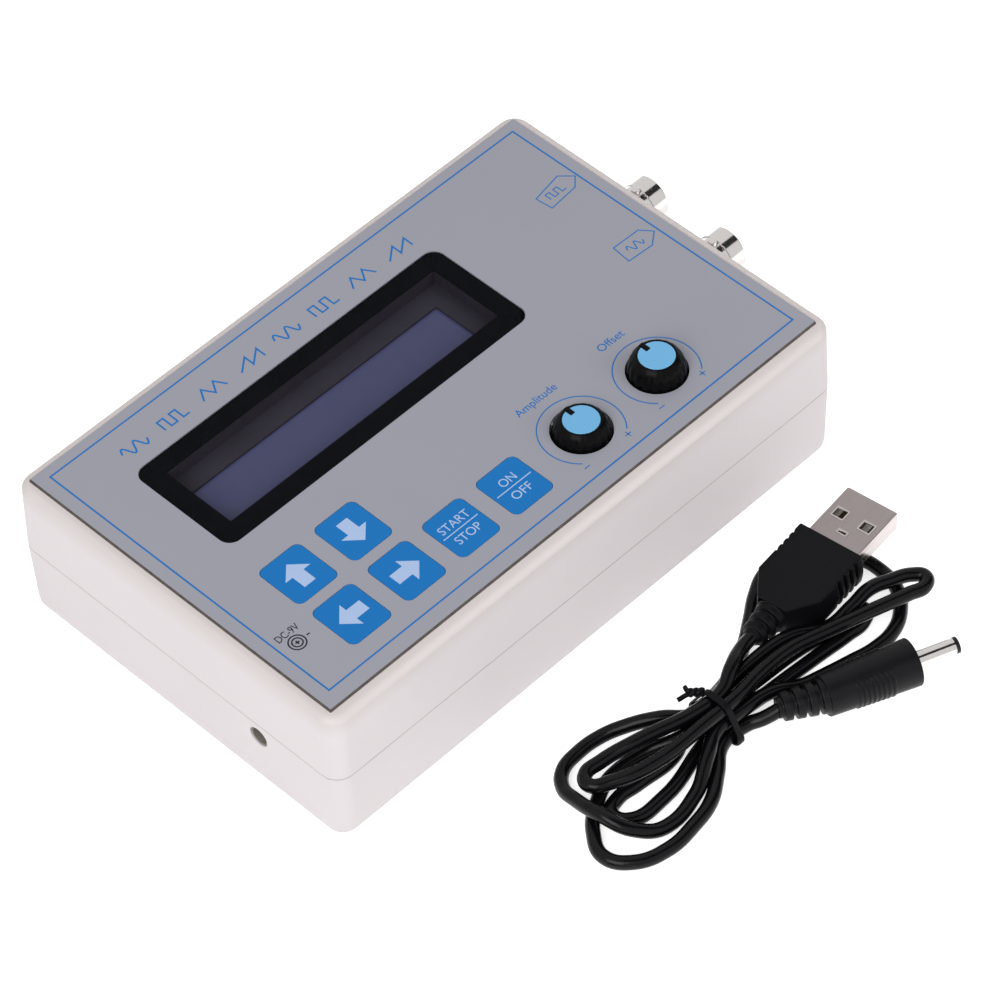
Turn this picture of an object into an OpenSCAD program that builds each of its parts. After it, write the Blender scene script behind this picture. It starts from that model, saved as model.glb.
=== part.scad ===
// Bench function generator in a two-part plastic case, with its tied power lead beside it.
// Millimetres. The origin is the centre of the case's underside, +Z is up, +X points to the
// output sockets and +Y to the top of the panel as it is read.

/* [Case] */
// Length of the case along X
case_l = 140; // [138:1:160]
// Width of the case along Y
case_w = 90; // [88:1:110]
// Height of the case without the panel label
case_h = 36.7; // [36:0.1:42]
// Height of the joint between the two shells
parting_z = 19.4; // [19:0.1:20.5]
// Wall thickness of both shells
wall = 2.2; // [1.8:0.1:2.6]
// Radius of the upright corners
corner_r = 4; // [3.9:0.1:6]
// Radius of the edge round the top face
top_edge_r = 1.6; // [0.6:0.1:2.4]
// Radius of the edge round the underside
bottom_edge_r = 3.8; // [1:0.1:3.8]
// How far each shell narrows from the joint to its flat face, on each side
draft = 0.3; // [0:0.1:0.6]
// Height of the lip that centres the top shell
lip_h = 1.5; // [0.8:0.1:2]
// Thickness of the lip
lip_t = 1; // [0.7:0.1:1.2]
// Radius of the posts that take the case screws
post_r = 3.6; // [3.4:0.1:3.8]
// Distance of the case screws from the outer faces
post_inset = 6.5; // [6.3:0.1:7]

/* [Panel label] */
// Thickness of the printed label on the top face
label_t = 0.5; // [0.3:0.1:0.8]
// Bare border of the top face at the short sides
label_margin_x = 3.1; // [2.6:0.1:5]
// Bare border of the top face at the long sides
label_margin_y = 3.5; // [2.6:0.1:5]

/* [Display] */
// Length of the window pane
pane_l = 82.7; // [78:0.1:86]
// Width of the window pane
pane_w = 27.5; // [25:0.1:28]
// Corner radius of the window pane
pane_r = 2.8; // [1:0.1:4]
// Black border of the window at its left end
mask_left = 4.8; // [2.6:0.1:6]
// Black border of the window at its right end
mask_right = 4.3; // [2.6:0.1:7]
// Black border of the window along its lower side
mask_low = 4.8; // [3:0.1:6]
// Black border of the window along its upper side
mask_top = 4.3; // [3:0.1:6]
// Depth of the display glass below the face of the label
glass_depth = 4.4; // [4:0.1:6]
// Length of the visible field of the display
field_l = 67.5; // [62:0.5:68]
// Width of the visible field of the display
field_w = 16; // [12:0.5:17]
// Height of the metal frame over the display board
frame_h = 8.9; // [7:0.1:9.5]
// Length of the display board
lcd_board_l = 80; // [79.5:0.5:84]
// Width of the display board
lcd_board_w = 36; // [35.5:0.5:38]

/* [Keys] */
// Width of a key along X
key_l = 10.7; // [9:0.1:12]
// Width of a key along Y
key_w = 11.9; // [9:0.1:12.5]
// Corner radius of a key
key_r = 1.5; // [0.5:0.1:3]
// Travel of a key
key_travel = 0.3; // [0.2:0.05:0.4]
// Gap round a key in the label
key_gap = 0.1; // [0.08:0.01:0.3]
// Radius of the plunger under a key
plunger_r = 1.75; // [1.4:0.05:2]

/* [Knobs] */
// Radius of the hole round each knob
knob_hole_r = 6.4; // [6.3:0.1:7]
// Radius of a knob at its top
knob_top_r = 4.7; // [4.5:0.1:5]
// Radius of a knob at its foot
knob_foot_r = 6.1; // [5.6:0.1:6.1]
// Height of a knob
knob_h = 9; // [7:0.5:10]
// Height of a knob's sloped upper part
knob_slope_h = 3.6; // [2.6:0.1:5]
// Number of flutes round a knob
knob_flutes = 18; // [12:1:24]
// Depth of the flutes
flute_depth = 0.35; // [0.1:0.05:0.5]
// Radius of the coloured cap
cap_r = 4; // [3.4:0.1:4]
// Thickness of the coloured cap
cap_t = 1; // [0.6:0.1:1.4]
// Radius of the shafts
shaft_r = 3; // [2.5:0.1:3.2]
// How far the amplitude knob stands out of the label
amplitude_proud = 3.1; // [2.5:0.1:5]
// How far the offset knob stands out of the label
offset_proud = 4.4; // [2.5:0.1:5]

/* [Output sockets] */
// Outer radius of a socket's barrel
bnc_r = 4.85; // [4.6:0.05:4.9]
// Inner radius of a socket's barrel
bnc_bore_r = 4.1; // [3.8:0.05:4.2]
// How far the barrels stand out of the case
bnc_out = 12.8; // [9:0.1:15]
// Radius of the bayonet lugs
lug_r = 1; // [0.7:0.1:1.2]
// Distance of the lugs from the barrel's rim
lug_back = 5.2; // [3:0.1:6]

/* [Power socket] */
// Radius of the hole for the power plug
dc_hole_r = 2.35; // [2.1:0.05:2.6]
// Radius of the socket's bore
dc_bore_r = 1.9; // [1.85:0.05:2]
// Radius of the centre pin
dc_pin_r = 0.6; // [0.5:0.05:0.62]
// Height of the power socket's axis over the main board
dc_axis_h = 4; // [3.5:0.1:4.5]

/* [Main board] */
// Height of the main board's underside
board_z = 10; // [8:0.1:10.4]
// Thickness of the circuit boards
board_t = 1.6; // [1.2:0.2:1.6]
// Gap between the main board and the case's long sides
board_gap_y = 8.8; // [8.7:0.1:9.6]
// Gap between the main board and the case's short sides
board_gap_x = 1; // [0.6:0.1:1.6]

/* [Power lead] */
// Radius of the cable
cable_r = 1.5; // [1.2:0.05:1.5]
// Width of the computer plug's metal shell
usb_w = 12; // [11.5:0.1:12.5]
// Height of the computer plug's metal shell
usb_h = 4.5; // [4.2:0.1:5]
// How far the metal shell stands out of its grip
usb_out = 14.4; // [11:0.1:15]
// Thickness of the metal shell's sheet
usb_sheet = 0.4; // [0.3:0.05:0.5]
// Width of the computer plug's grip at half its thickness
grip_w = 16.6; // [15.6:0.1:17]
// Width of the computer plug's grip across its flat faces
grip_face_w = 15; // [14:0.1:15.5]
// Thickness of the computer plug's grip
grip_t = 7.6; // [7:0.1:7.6]
// Radius of the round plug's body at its front
plug_r = 5; // [4.6:0.1:5]
// Outer radius of the round plug's barrel
barrel_r = 1.75; // [1.7:0.01:1.8]
// Length of the round plug's barrel
barrel_l = 9; // [8:0.1:10]

/* [Hidden] */
$fn = 64;
// facets round the parts of a rounded outline that is hulled
hull_fn = 32;
// small overlap that joins pieces of one solid or opens a cut
eps = 0.01;
// clearance of pieces that are pressed or seated in each other
seat_gap = 0.05;
// clearance of round pieces that move in a hole
run_gap = 0.3;

// levels
panel_z = case_h + label_t;
plate_under = case_h - wall;
board_top = board_z + board_t;
floor_z = wall;

// hollow of the case
inner_r = corner_r - wall;
inner_edge_r = inner_r * 0.9;
// chamfer of each shell along the joint
seam = 0.2;

// label
label_l = case_l - 2 * label_margin_x;
label_w = case_w - 2 * label_margin_y;

// corner of the panel that its pieces are placed from
corner = [-case_l / 2, -case_w / 2];

// display
pane_at = corner + [58.95, 60];
lcd_at = corner + [57.75, 56.4];
view_l = pane_l - mask_left - mask_right;
view_w = pane_w - mask_low - mask_top;
view_at = pane_at + [mask_left - mask_right, mask_low - mask_top] / 2;
view_r = 0.4;
pane_gap = 0.1;
frame_side = 4.8;
frame_end = 4.8;
mask_t = label_t / 2;
well_rim = 1.6;
frame_lip = 0.6;
frame_sheet = 0.5;
frame_l = field_l + 2 * frame_side;
frame_w = field_w + 2 * frame_end;
glass_z = panel_z - glass_depth;
frame_top = glass_z + frame_lip;
lcd_board_top = frame_top - frame_h;
lcd_board_z = lcd_board_top - board_t;
lcd_glass_t = 2.6;
lcd_hole_inset = 2.5;
lcd_holes = [for (sx = [-1, 1], sy = [-1, 1])
    [lcd_at[0] + sx * (lcd_board_l / 2 - lcd_hole_inset),
     lcd_at[1] + sy * (lcd_board_w / 2 - lcd_hole_inset)]];
lcd_post_r = 2.6;

// keys: up, down, left, right, start and stop, on and off
first_key = corner + [21.95, 17.1];
key_pitch = 14.67;
key_row = 14.65;
key_at = [for (c = [[0, 1], [1, 1], [0, 0], [1, 0], [2, 0], [3, 0]])
    [first_key[0] + c[0] * key_pitch, first_key[1] + c[1] * key_row]];
key_recess = 0.5;
switch_l = 6;
switch_h = 3.5;
switch_bore = 1.2;
switch_gap = 0.15;
plunger_z = board_top + switch_h - switch_bore + key_travel + run_gap / 3;

// knobs
amplitude_at = corner + [85.1, 17.5];
offset_at = corner + [106.5, 17.5];
pot_l = 9.8;
pot_w = 11;
pot_h = 6.8;
pot_bore = 5;
web_t = 1;
pointer_w = 1.3;
pointer_in = 2.1;
pointer_lift = 0.15;

// output sockets
bnc_y = [for (down = [27.25, 49.05]) case_w / 2 - down];
bnc_z = parting_z + 1;
bnc_hole_gap = 0.15;
bnc_back = 0.2;
bnc_face_x = case_l / 2 - wall - bnc_back;
bnc_len = wall + bnc_back + bnc_out;
housing_l = 14;
housing_w = 14.5;
housing_over = 7.2;
bnc_stub_r = 4.4;
bnc_stub = 5;
web_back = 9.5;
bnc_relief = 0.2;
bnc_rim = 0.4;
lug_h = 0.8;
insulator_back = 1;
insulator_r = 2.4;
contact_r = 0.7;
contact_bore_r = 0.45;
contact_l = 6;
contact_z = bnc_len - insulator_back - contact_l;

// power socket
dc_y = corner[1] + 22.1;
dc_z = board_top + dc_axis_h;
dc_jack_l = 11.5;
dc_jack_w = 9;
dc_jack_over = 3.2;
dc_depth = 9.5;
dc_pin_back = 0.6;
dc_face_x = -case_l / 2 + wall + draft + seat_gap;

// screws
screw_r = 1.45;
screw_hole_r = 1.7;
pilot_r = 1.5;
head_r = 2.6;
head_t = 1.9;
counterbore = 6;
case_screw_bite = 8;
case_posts = [for (sx = [-1, 1], sy = [-1, 1])
    [sx * (case_l / 2 - post_inset), sy * (case_w / 2 - post_inset)]];
board_hole_inset = [8.8, 3];
board_l = case_l - 2 * (wall + board_gap_x);
board_w = case_w - 2 * (wall + board_gap_y);
board_posts = [for (sx = [-1, 1], sy = [-1, 1])
    [sx * (board_l / 2 - board_hole_inset[0]), sy * (board_w / 2 - board_hole_inset[1])]];
board_post_r = 2.6;
small_screw_r = 1.1;
small_pilot_r = 1.15;
small_head_r = 2.1;
small_head_t = 1.4;
small_hole_r = 1.35;
drive_w = 0.6;
drive_rim = 1.8;
drive_depth = 0.8;
board_screw_bite = 5;
display_screw_bite = 5;

// chips and other pieces on the main board
controller_at = lcd_at + [-2.25, -3.8];
controller_l = 52;
controller_w = 13.6;
controller_pins = 20;
amplifier_l = 19;
amplifier_w = 6.4;
amplifier_at = [bnc_face_x - housing_l - 18.6, corner[1] + 50];
amplifier_pins = 7;
chip_lift = 0.5;
chip_h = 3.3;
chip_pin_w = 0.5;
chip_pin_t = 0.7;
pin_pitch = 2.54;
crystal_at = controller_at + [-34, -2];
crystal_l = 11;
crystal_w = 4.6;
crystal_h = 3.5;
crystal_r = 2.2;
capacitor_at = corner + [10, 45];
capacitor_pitch = 8;
capacitor_r = 3;
capacitor_h = 8;
strip_pins = 16;
strip_t = 2.5;
strip_gap = 0.4;
strip_at = lcd_at + [-10, lcd_board_w / 2 - lcd_hole_inset];

// power lead: centre of each grip's front face, and the cable's route
usb_at = [44.2, -67.2, 7];
usb_angle = 7;
usb_in = 3;
tongue_t = 1.9;
tongue_back = 0.5;
window_back = 6.7;
window_y = 3.2;
window_l = 2.2;
window_w = 2.4;
slot_back = 10.6;
slot_l = 0.6;
slot_w = 1.8;
usb_pin_y = [-3.5, -1, 1, 3.5];
usb_pin_l = 8.5;
usb_pin_w = 1;
usb_pin_t = 0.2;
usb_pin_back = 10;
usb_relief_rings = 3;
grip_l = 13;
grip_r = 0.6;
grip_taper = 7.3;
grip_back = 3.5;
grooves = 4;
groove_first = 2.4;
groove_pitch = 1.9;
groove_w = 0.7;
groove_depth = 1.1;
relief_l = 7.2;
relief_r = 3.5;
relief_end_r = 2.5;
plug_at = [35.4, -96.6, 5];
plug_angle = -21;
plug_l = 19.4;
plug_in = 3;
barrel_root_r = barrel_r - 0.2;
plug_back_r = plug_r - 0.7;
plug_relief_angle = -28;
plug_relief_l = 10.2;
plug_relief_in = 0.6;
plug_relief_step = 0.6;
plug_relief_end_r = 2.8;
plug_relief_rings = 4;
ridges = 8;
ridge_first = 6.4;
ridge_pitch = 1.05;
ridge_w = 0.55;
ridge_h = 0.25;
ridge_arc = 110;
tip_t = 0.8;
tip_bore_r = 0.68;
tip_sleeve_r = 1.1;
tip_step = 0.02;
tie_t = 0.7;
tie_w = 1.6;
knot_off = 2.8;
knot_r = 1.2;
knot_l = 3.6;
knot_end_r = 0.6;
knot_end_l = 3;
cable_sides = 8;
lead_route = [
    // out of the computer plug, through the tie to the narrow inner loop
    [20, -70.2, 7], [13, -71.5, 7.7], [7.9, -73.8, 8.8], [3.5, -75.7, 7.7], [-3.5, -75.7, 7.7],
    [-15.8, -71.9, 6.9], [-24, -69, 4.9], [-28, -68.9, 4.6], [-29.4, -71.2, 4.7], [-26.5, -73.9, 5.1],
    [-18, -77.7, 6.6], [-3.5, -78.9, 7.7],
    // to the long upper loop beside the computer plug
    [3.5, -78.9, 7.7], [12, -77.9, 7.4], [20.6, -78, 7], [25.3, -79.1, 6.9], [30.2, -80.9, 7.3],
    [34.6, -81.7, 6.6], [41.1, -83.1, 5.8], [47.8, -84.9, 5.4], [51.4, -85.7, 5.1], [53.4, -84, 5],
    [52, -81.8, 5], [47.7, -79.8, 5.3], [43.2, -78.5, 5.7], [37.2, -78.9, 5.6], [30.8, -78.7, 5],
    [23.3, -75.1, 5.7], [13, -74, 5.6], [3.5, -74.2, 5],
    // the wide outer loop
    [-3.5, -74.2, 5], [-8.6, -70.4, 5.6], [-13.8, -66, 4], [-18.5, -63.4, 2.6], [-23.7, -62.6, 1.9],
    [-28.6, -63.4, 1.7], [-31.7, -66.4, 1.9], [-32.9, -71, 3.3], [-33.3, -77.8, 5.2], [-31, -84, 3.8],
    [-24.5, -87.4, 1.7], [-15.4, -86.2, 1.9], [-8.6, -83, 4.6], [-3.5, -80.4, 5],
    // the big loop that runs under the computer plug
    [3.5, -80.4, 5], [11.1, -81, 4.3], [20, -83.5, 1.5], [29.4, -85.9, 1.5], [35, -87.1, 1.5],
    [40.5, -86.9, 1.5], [45.3, -84.7, 1.5], [49.3, -80.3, 1.5], [50.8, -75, 1.5], [50, -68.5, 1.5],
    [46.5, -62.5, 1.5], [40.5, -58.7, 1.5], [34.5, -58.3, 1.5], [29.3, -60.5, 1.5], [23.7, -64.2, 1.5],
    [18, -67.8, 1.5], [11, -70.9, 1.6], [3.5, -72.6, 2.2],
    // the small inner loop
    [-3.5, -72.6, 2.2], [-10.8, -76.5, 1.5], [-21, -76.2, 1.5], [-26.4, -75.8, 1.5],
    [-29.6, -77.4, 1.5], [-28.7, -80.7, 1.5], [-20.1, -82.1, 1.5], [-3.5, -78.9, 2.2],
    // the loop hidden below the long upper one
    [3.5, -78.9, 2.2], [13.9, -79.3, 1.5], [26, -80.4, 1.9], [33.5, -81.4, 2.5], [38, -81.5, 2.6],
    [40.5, -79.6, 2.6], [38, -78, 2.4], [33, -78.2, 1.9], [25, -76.9, 2.3], [13.2, -76.8, 3.6],
    [3.5, -77.3, 5],
    // the lowest loop, and through the tie to the round plug
    [-3.5, -77.3, 5], [-9.7, -76.2, 5], [-15, -72.8, 3], [-23, -71.2, 1.7], [-30.1, -73.8, 1.5],
    [-35.5, -78.2, 1.5], [-38.1, -83.6, 1.5], [-35.3, -88.4, 1.5], [-28.5, -91.2, 1.5],
    [-21, -90.9, 1.5], [-14.6, -89.4, 1.5], [-8.6, -85.6, 1.5], [-3.5, -82, 2.2], [3.5, -82, 2.2],
    [6.3, -83.8, 3.1], [10.5, -85.9, 5]
];
// the strands where they leave the tie
tied = [for (p = lead_route) if (p[0] == 3.5) [p[1], p[2]]];

// ---- shapes that repeat ----

// Rectangle round the origin with true round corners
module rounded_rect(l, w, r) {
    square([l - 2 * r, w], center = true);
    square([l, w - 2 * r], center = true);
    for (sx = [-1, 1], sy = [-1, 1])
        translate([sx * (l / 2 - r), sy * (w / 2 - r)]) circle(r);
}

module rounded_plate(l, w, r, t) linear_extrude(t) rounded_rect(l, w, r);

// Box whose lowest face is centred on the origin in plan
module box(l, w, h) translate([-l / 2, -w / 2, 0]) cube([l, w, h]);

// Upright round post or hole between two levels
module post(r, from, to) translate([0, 0, from]) cylinder(r = r, h = to - from);

module tube(r, bore_r, h) difference() {
    cylinder(r = r, h = h);
    translate([0, 0, -eps]) cylinder(r = bore_r, h = h + 2 * eps);
}

// Upright round post with its lower edge rounded
module rounded_post(r, edge_r, h) rotate_extrude($fn = hull_fn)
    polygon(concat([[0, 0]],
        [for (a = [-90:15:0]) [r - edge_r + edge_r * cos(a), edge_r + edge_r * sin(a)]],
        [[r, h], [0, h]]));

// Closed half of a case: a flat face at z = 0 with a rounded edge, open side at z = h with a chamfer
module half_case(l, w, r, edge_r, h, taper, chamfer) hull()
    for (sx = [-1, 1], sy = [-1, 1]) {
        translate([sx * (l / 2 - r - taper), sy * (w / 2 - r - taper), 0])
            rounded_post(r, edge_r, edge_r + eps);
        translate([sx * (l / 2 - r), sy * (w / 2 - r), h - chamfer])
            cylinder(r1 = r, r2 = r - chamfer, h = chamfer, $fn = hull_fn);
    }

module at_all(places) for (p = places) translate([p[0], p[1], 0]) children();

// Outer form and hollow of each half, lying on its flat face
module half_body(edge_r, h) difference() {
    half_case(case_l, case_w, corner_r, edge_r, h, draft, seam);
    translate([0, 0, wall])
        half_case(case_l - 2 * wall, case_w - 2 * wall, inner_r, inner_edge_r, h - wall + eps, draft, eps);
}

// Holes that the output sockets and the power plug need in both shells
module side_holes() {
    for (y = bnc_y) translate([case_l / 2 - wall - 1, y, bnc_z])
        rotate([0, 90, 0]) cylinder(r = bnc_r + bnc_hole_gap, h = wall + 2);
    translate([-case_l / 2 - 1, dc_y, dc_z]) rotate([0, 90, 0]) cylinder(r = dc_hole_r, h = wall + 2);
}

// Outline of the lip, from its inner face out to the given inset from the case's side
module lip_ring(inset, h) difference() {
    rounded_plate(case_l - 2 * inset, case_w - 2 * inset, corner_r - inset, h);
    translate([0, 0, -eps])
        rounded_plate(case_l - 2 * wall, case_w - 2 * wall, inner_r, h + 2 * eps);
}

// ---- case ----

module bottom_shell() color("#e6dfe0") difference() {
    union() {
        half_body(bottom_edge_r, parting_z);
        translate([0, 0, parting_z - eps]) lip_ring(wall - lip_t, lip_h + eps);
        at_all(case_posts) post(post_r, floor_z - eps, parting_z);
        at_all(board_posts) post(board_post_r, floor_z - eps, board_z);
    }
    at_all(case_posts) {
        translate([0, 0, -1]) cylinder(r = screw_hole_r, h = parting_z + 2);
        translate([0, 0, -1]) cylinder(r = head_r + run_gap / 2, h = counterbore + 1);
    }
    at_all(board_posts) translate([0, 0, board_top - board_t - board_screw_bite - 1])
        cylinder(r = small_pilot_r, h = board_screw_bite + 2);
    side_holes();
}

module top_shell() color("#e9e2e3") difference() {
    union() {
        translate([0, 0, case_h]) mirror([0, 0, 1]) half_body(top_edge_r, case_h - parting_z);
        at_all(case_posts) post(post_r, parting_z, plate_under + eps);
        at_all(lcd_holes) post(lcd_post_r, lcd_board_top, plate_under + eps);
    }
    translate([0, 0, parting_z - 1]) lip_ring(wall - lip_t - seat_gap, lip_h + 1 + seat_gap);
    at_all(case_posts) translate([0, 0, parting_z - 1]) cylinder(r = pilot_r, h = case_screw_bite + 2);
    at_all(lcd_holes) post(small_pilot_r, lcd_board_top - 1, lcd_board_top + display_screw_bite + 1);
    translate([view_at[0], view_at[1], plate_under - 1])
        rounded_plate(view_l + 2 * well_rim, view_w + 2 * well_rim, view_r, wall + 2);
    at_all(key_at) {
        translate([0, 0, plate_under - 1]) cylinder(r = plunger_r + run_gap, h = wall + 2);
        translate([0, 0, case_h - key_recess])
            rounded_plate(key_l + 2 * run_gap, key_w + 2 * run_gap, key_r, key_recess + 1);
    }
    at_all([amplitude_at, offset_at]) post(knob_hole_r, plate_under - 1, case_h + 1);
    side_holes();
}

module panel_label() color("#a3a4ad") translate([0, 0, case_h]) difference() {
    box(label_l, label_w, label_t);
    translate([pane_at[0], pane_at[1], -1])
        rounded_plate(pane_l + 2 * pane_gap, pane_w + 2 * pane_gap, pane_r + pane_gap, label_t + 2);
    at_all(key_at) translate([0, 0, -1])
        rounded_plate(key_l + 2 * key_gap, key_w + 2 * key_gap, key_r + key_gap, label_t + 2);
    at_all([amplitude_at, offset_at]) translate([0, 0, -1]) cylinder(r = knob_hole_r, h = label_t + 2);
}

// ---- display ----

module display_window() color([0.7, 0.75, 0.85, 0.4])
    translate([pane_at[0], pane_at[1], case_h + mask_t])
        rounded_plate(pane_l, pane_w, pane_r, label_t - mask_t);

module display_mask() color("#17181d") translate([0, 0, case_h]) difference() {
    translate([pane_at[0], pane_at[1], 0]) rounded_plate(pane_l, pane_w, pane_r, mask_t);
    translate([view_at[0], view_at[1], -1]) rounded_plate(view_l, view_w, view_r, mask_t + 2);
}

module lcd_board() color("#1d6a4b") difference() {
    translate([lcd_at[0], lcd_at[1], lcd_board_z]) box(lcd_board_l, lcd_board_w, board_t);
    at_all(lcd_holes) translate([0, 0, lcd_board_z - 1]) cylinder(r = small_hole_r, h = board_t + 2);
}

module lcd_bezel() color("#3c3d48") translate([lcd_at[0], lcd_at[1], lcd_board_top]) difference() {
    box(frame_l, frame_w, frame_h);
    translate([0, 0, -1])
        box(frame_l - 2 * frame_sheet, frame_w - 2 * frame_sheet, frame_h - frame_lip + 1);
    translate([0, 0, frame_h - 1]) box(field_l, field_w, 2);
}

module lcd_glass() color("#4a4d78") translate([lcd_at[0], lcd_at[1], glass_z - lcd_glass_t])
    box(frame_l - 2 * frame_sheet - 2 * seat_gap, frame_w - 2 * frame_sheet - 2 * seat_gap, lcd_glass_t);

module lcd_backlight() color("white") translate([lcd_at[0], lcd_at[1], lcd_board_top])
    box(frame_l - 2 * frame_sheet - 2 * seat_gap, frame_w - 2 * frame_sheet - 2 * seat_gap,
        glass_z - lcd_glass_t - lcd_board_top);

// Socket strip on the main board with the display's pin strip in it
module lcd_header() color("#222222") translate([strip_at[0], strip_at[1], board_top]) {
    socket_h = lcd_board_z - board_top - strip_t;
    box(strip_pins * pin_pitch, strip_t, socket_h);
    translate([0, 0, socket_h - eps]) for (i = [0:strip_pins - 1])
        translate([(i - (strip_pins - 1) / 2) * pin_pitch, 0, 0])
            box(pin_pitch - strip_gap, strip_t - strip_gap, strip_t + eps);
}

// ---- main board and what it carries ----

module main_board() color("#1c5c3e") difference() {
    translate([0, 0, board_z]) box(board_l, board_w, board_t);
    at_all(board_posts) translate([0, 0, board_z - 1]) cylinder(r = small_hole_r, h = board_t + 2);
}

// Chip with a row of bent pins along each side; its pins stand on the board
module chip(l, w, pins) translate([0, 0, board_top]) {
    translate([0, 0, chip_lift]) box(l, w, chip_h);
    for (i = [0:pins - 1], s = [-1, 1])
        translate([(i - (pins - 1) / 2) * pin_pitch, s * (w + chip_pin_t) / 2, 0])
            box(chip_pin_w, chip_pin_t + 2 * eps, chip_lift + chip_h / 2);
}

module microcontroller() color("#2a2a2c") translate([controller_at[0], controller_at[1], 0])
    chip(controller_l, controller_w, controller_pins);

module output_amplifier() color("#2a2a2c") translate([amplifier_at[0], amplifier_at[1], 0])
    rotate([0, 0, 90]) chip(amplifier_l, amplifier_w, amplifier_pins);

module crystal() color("silver") translate([crystal_at[0], crystal_at[1], board_top])
    rounded_plate(crystal_w, crystal_l, crystal_r, crystal_h);

module capacitors() color("#1e2c4c") for (i = [-1:1])
    translate([capacitor_at[0], capacitor_at[1] + i * capacitor_pitch, board_top])
        cylinder(r = capacitor_r, h = capacitor_h);

module key_switches() color("#303034") at_all(key_at) translate([0, 0, board_top]) difference() {
    box(switch_l, switch_l, switch_h);
    translate([0, 0, switch_h - switch_bore]) cylinder(r = plunger_r + switch_gap, h = switch_bore + 1);
}

// ---- keys ----

module key_pad(i) color("#1f80d2") translate([key_at[i][0], key_at[i][1], case_h])
    rounded_plate(key_l, key_w, key_r, label_t);

// Plunger from the switch up to the underside of its key
module plunger(i) color("#e8e8e8")
    translate([key_at[i][0], key_at[i][1], plunger_z]) cylinder(r = plunger_r, h = case_h - plunger_z);

module key_up() key_pad(0);
module key_down() key_pad(1);
module key_left() key_pad(2);
module key_right() key_pad(3);
module key_start_stop() key_pad(4);
module key_on_off() key_pad(5);
module plunger_up() plunger(0);
module plunger_down() plunger(1);
module plunger_left() plunger(2);
module plunger_right() plunger(3);
module plunger_start_stop() plunger(4);
module plunger_on_off() plunger(5);

// ---- knobs ----

module pot(at) color("#3a3f46") translate([at[0], at[1], board_top]) difference() {
    box(pot_l, pot_w, pot_h);
    translate([0, 0, pot_h - pot_bore]) cylinder(r = shaft_r + seat_gap, h = pot_bore + 1);
}

module shaft(at, proud) color("#9a9aa0")
    translate([at[0], at[1], board_top + pot_h - pot_bore + seat_gap])
        cylinder(r = shaft_r - 0.02, h = panel_z + proud - cap_t - web_t
            - (board_top + pot_h - pot_bore + seat_gap));

// Outline of a fluted knob of radius r
module fluted(r) polygon([for (i = [0:4 * knob_flutes - 1])
    let (rr = r - (i % 4 == 0 ? flute_depth : 0), a = i * 90 / knob_flutes)
    [rr * sin(a), rr * cos(a)]]);

// Fluted knob with its top at z = 0, a seat for the cap and a raised pointer towards +Y
module knob_body() {
    difference() {
        union() {
            translate([0, 0, -knob_slope_h])
                linear_extrude(knob_slope_h, scale = knob_top_r / knob_foot_r) fluted(knob_foot_r);
            translate([0, 0, -knob_h]) linear_extrude(knob_h - knob_slope_h) fluted(knob_foot_r);
        }
        translate([0, 0, -cap_t]) cylinder(r = cap_r + seat_gap, h = cap_t + 1);
        translate([0, 0, -knob_h - 1]) cylinder(r = shaft_r, h = knob_h - cap_t - web_t + 1);
    }
    translate([-pointer_w / 2, pointer_in, -cap_t - eps])
        cube([pointer_w, knob_top_r - 0.2 - pointer_in, cap_t + pointer_lift + eps]);
}

module knob(at, proud) color("#1b1b1d") translate([at[0], at[1], panel_z + proud]) knob_body();

module cap(at, proud) color("#78bfec") translate([at[0], at[1], panel_z + proud - cap_t]) difference() {
    cylinder(r = cap_r, h = cap_t);
    translate([-pointer_w / 2 - seat_gap, pointer_in - seat_gap, -1])
        cube([pointer_w + 2 * seat_gap, cap_r, cap_t + 2]);
}

module amplitude_pot() pot(amplitude_at);
module amplitude_shaft() shaft(amplitude_at, amplitude_proud);
module amplitude_knob() knob(amplitude_at, amplitude_proud);
module amplitude_cap() cap(amplitude_at, amplitude_proud);
module offset_pot() pot(offset_at);
module offset_shaft() shaft(offset_at, offset_proud);
module offset_knob() knob(offset_at, offset_proud);
module offset_cap() cap(offset_at, offset_proud);

// ---- output sockets ----

// Puts a piece drawn along +Z on a socket's axis, with z = 0 at the housing's front face
module on_bnc(i) translate([bnc_face_x, bnc_y[i], bnc_z]) rotate([0, 90, 0]) children();

module bnc_housing(i) color("#26262a") difference() {
    translate([bnc_face_x - housing_l, bnc_y[i] - housing_w / 2, board_top])
        cube([housing_l, housing_w, bnc_z + housing_over - board_top]);
    on_bnc(i) translate([0, 0, -bnc_stub]) cylinder(r = bnc_stub_r + seat_gap, h = bnc_stub + 1);
}

// Barrel with its bayonet lugs above and below; it is a little slimmer behind its guiding front
module bnc_barrel(i) color("#c9c9cc") on_bnc(i) {
    rear_r = bnc_r - bnc_relief;
    front = bnc_len - lug_back + lug_r;
    rotate_extrude() polygon([
        [insulator_r + seat_gap, -bnc_stub], [bnc_stub_r, -bnc_stub], [bnc_stub_r, 0], [rear_r, 0],
        [rear_r, front], [bnc_r, front], [bnc_r, bnc_len - bnc_rim], [bnc_r - bnc_rim, bnc_len],
        [bnc_bore_r, bnc_len], [bnc_bore_r, bnc_len - web_back],
        [insulator_r + seat_gap, bnc_len - web_back]]);
    for (s = [0, 180]) rotate([0, 0, s]) translate([bnc_bore_r + eps, 0, bnc_len - lug_back])
        rotate([0, 90, 0]) cylinder(r = lug_r, h = bnc_r + lug_h - bnc_bore_r, $fn = 24);
}

module bnc_insulator(i) color("white") on_bnc(i) difference() {
    translate([0, 0, -bnc_stub]) cylinder(r = insulator_r, h = bnc_stub + bnc_len - insulator_back);
    translate([0, 0, contact_z]) cylinder(r = contact_r + seat_gap, h = contact_l + 1);
}

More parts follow.
